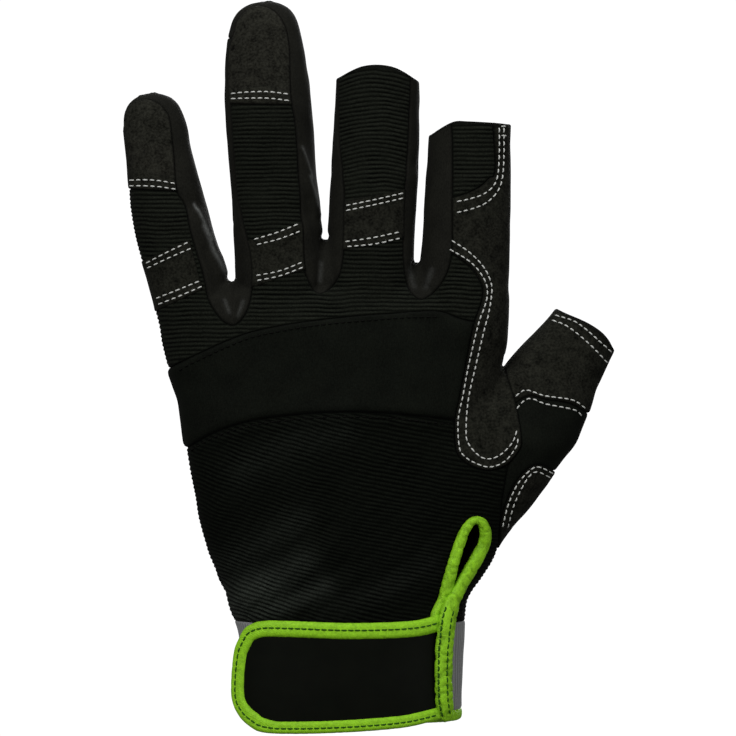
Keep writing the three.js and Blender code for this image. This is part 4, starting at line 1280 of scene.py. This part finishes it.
front_tree = tree_of(FRONT)
for table, finish in ((WHITE_LINES, WHITE_THREAD), (BLACK_LINES, BLACK_THREAD)):
    for name, lines in table.items():
        rows = [stitch_row(on_photo(line), front_tree) for line in lines]
        make_piece(name, *joined(rows), finish)


def seam_on_tape(places, normals, half_width, offset, rise):
    """A line of stitches along a tape, off its middle by a share of its half width."""
    tangent = unit(np.gradient(places, axis=0))
    across = unit(np.cross(tangent, normals))
    line = places + across * (half_width * offset)[:, None] + normals * rise[:, None]
    run = run_along(line)
    meshes = []
    share = np.linspace(-0.5, 0.5, 5)
    thick = np.full(5, TAPE_STITCH_RADIUS)
    for middle in np.arange(TAPE_PITCH, run[-1] - TAPE_PITCH, TAPE_PITCH):
        at = middle + share * TAPE_STITCH_LENGTH
        up = unit(sampled(normals, run, at))
        spot = sampled(line, run, at) + up * (TAPE_STITCH_RADIUS * (0.6 - 4.5 * share ** 2))[:, None]
        meshes.append(sweep(spot, up, thick, thick, sides=6, power=2))
    return joined(meshes)


strap_seam = seam_on_tape(strap_places, strap_normals, half, 0.12, np.full(len(half), 1.12))
on_strand = slit_line[:, 1] < (WRIST_PIXEL[1] - 606) * PIXEL
on_strand &= np.arange(len(slit_line)) > len(slit_line) / 2
strand = []
for offset in (0.85, -0.05):
    height = 0.95 * (1 - abs(offset) ** TAPE_SQUARENESS) ** (1 / TAPE_SQUARENESS)
    strand.append(seam_on_tape(slit_places[on_strand], slit_normals[on_strand], slit_line[on_strand, 3],
                               offset, slit_line[on_strand, 4] * height))
make_piece("binding_stitches", *joined([strap_seam, *strand]), GREEN_THREAD)


# Floor, light and camera, in metres
FLOOR = -0.07
FLOOR_REACH = 0.62
PALE = (0.88, 0.88, 0.88)
floor_mesh = bpy.data.meshes.new("floor")
corners = [(-1, -1), (1, -1), (1, 1), (-1, 1)]
floor_mesh.from_pydata([(x * FLOOR_REACH, y * FLOOR_REACH, FLOOR) for x, y in corners], [], [(0, 1, 2, 3)])
floor_mesh.materials.append(
    Finish("floor", Base_Color=PALE, Roughness=0.9, Emission_Color=PALE, Emission_Strength=0.5).material)
floor = in_scene("floor", floor_mesh)
floor.visible_glossy = False
floor.visible_diffuse = False


def soft_light(name, place, aim, width, height, power):
    data = bpy.data.lights.new(name, "AREA")
    data.shape = "RECTANGLE"
    data.size = width
    data.size_y = height
    data.energy = power
    lamp = in_scene(name, data)
    lamp.location = place
    lamp.rotation_euler = (Vector(aim) - Vector(place)).to_track_quat("-Z", "Y").to_euler()


soft_light("key_light", (-0.7, -1.1, 0.9), (0, 0, 0.11), 0.7, 0.7, 15)
soft_light("fill_light", (0.9, -0.9, 0.3), (0, 0, 0.11), 0.7, 0.9, 5)
soft_light("top_light", (0.1, 0.0, 1.1), (0, 0, 0.1), 0.8, 0.5, 5)
soft_light("palm_light", (0.3, 1.3, 0.6), (0, 0, 0.11), 0.9, 0.9, 14)

# The studio's white wall shows to the camera, and lights the glove only a little
WALL_GLOW = 0.12
WALL_SHOWN = 0.95
world = bpy.data.worlds.new("studio")
world.use_nodes = True
studio = world.node_tree
wall = studio.nodes["Background"]
wall.inputs["Color"].default_value = (1, 1, 1, 1)
glow = studio.nodes.new("ShaderNodeMath")
glow.operation = "MULTIPLY_ADD"
glow.inputs[1].default_value = WALL_SHOWN
glow.inputs[2].default_value = WALL_GLOW
studio.links.new(studio.nodes.new("ShaderNodeLightPath").outputs["Is Camera Ray"], glow.inputs[0])
studio.links.new(glow.outputs[0], wall.inputs["Strength"])
bpy.context.scene.world = world

camera_data = bpy.data.cameras.new("camera")
camera_data.lens = CAMERA_LENS
camera_data.sensor_width = 36
camera = in_scene("camera", camera_data)
camera.location = Vector(CAMERA_PLACE) * MM
camera.rotation_euler = (math.pi / 2, 0, 0)
bpy.context.scene.camera = camera
bpy.context.scene.view_settings.view_transform = "Standard"
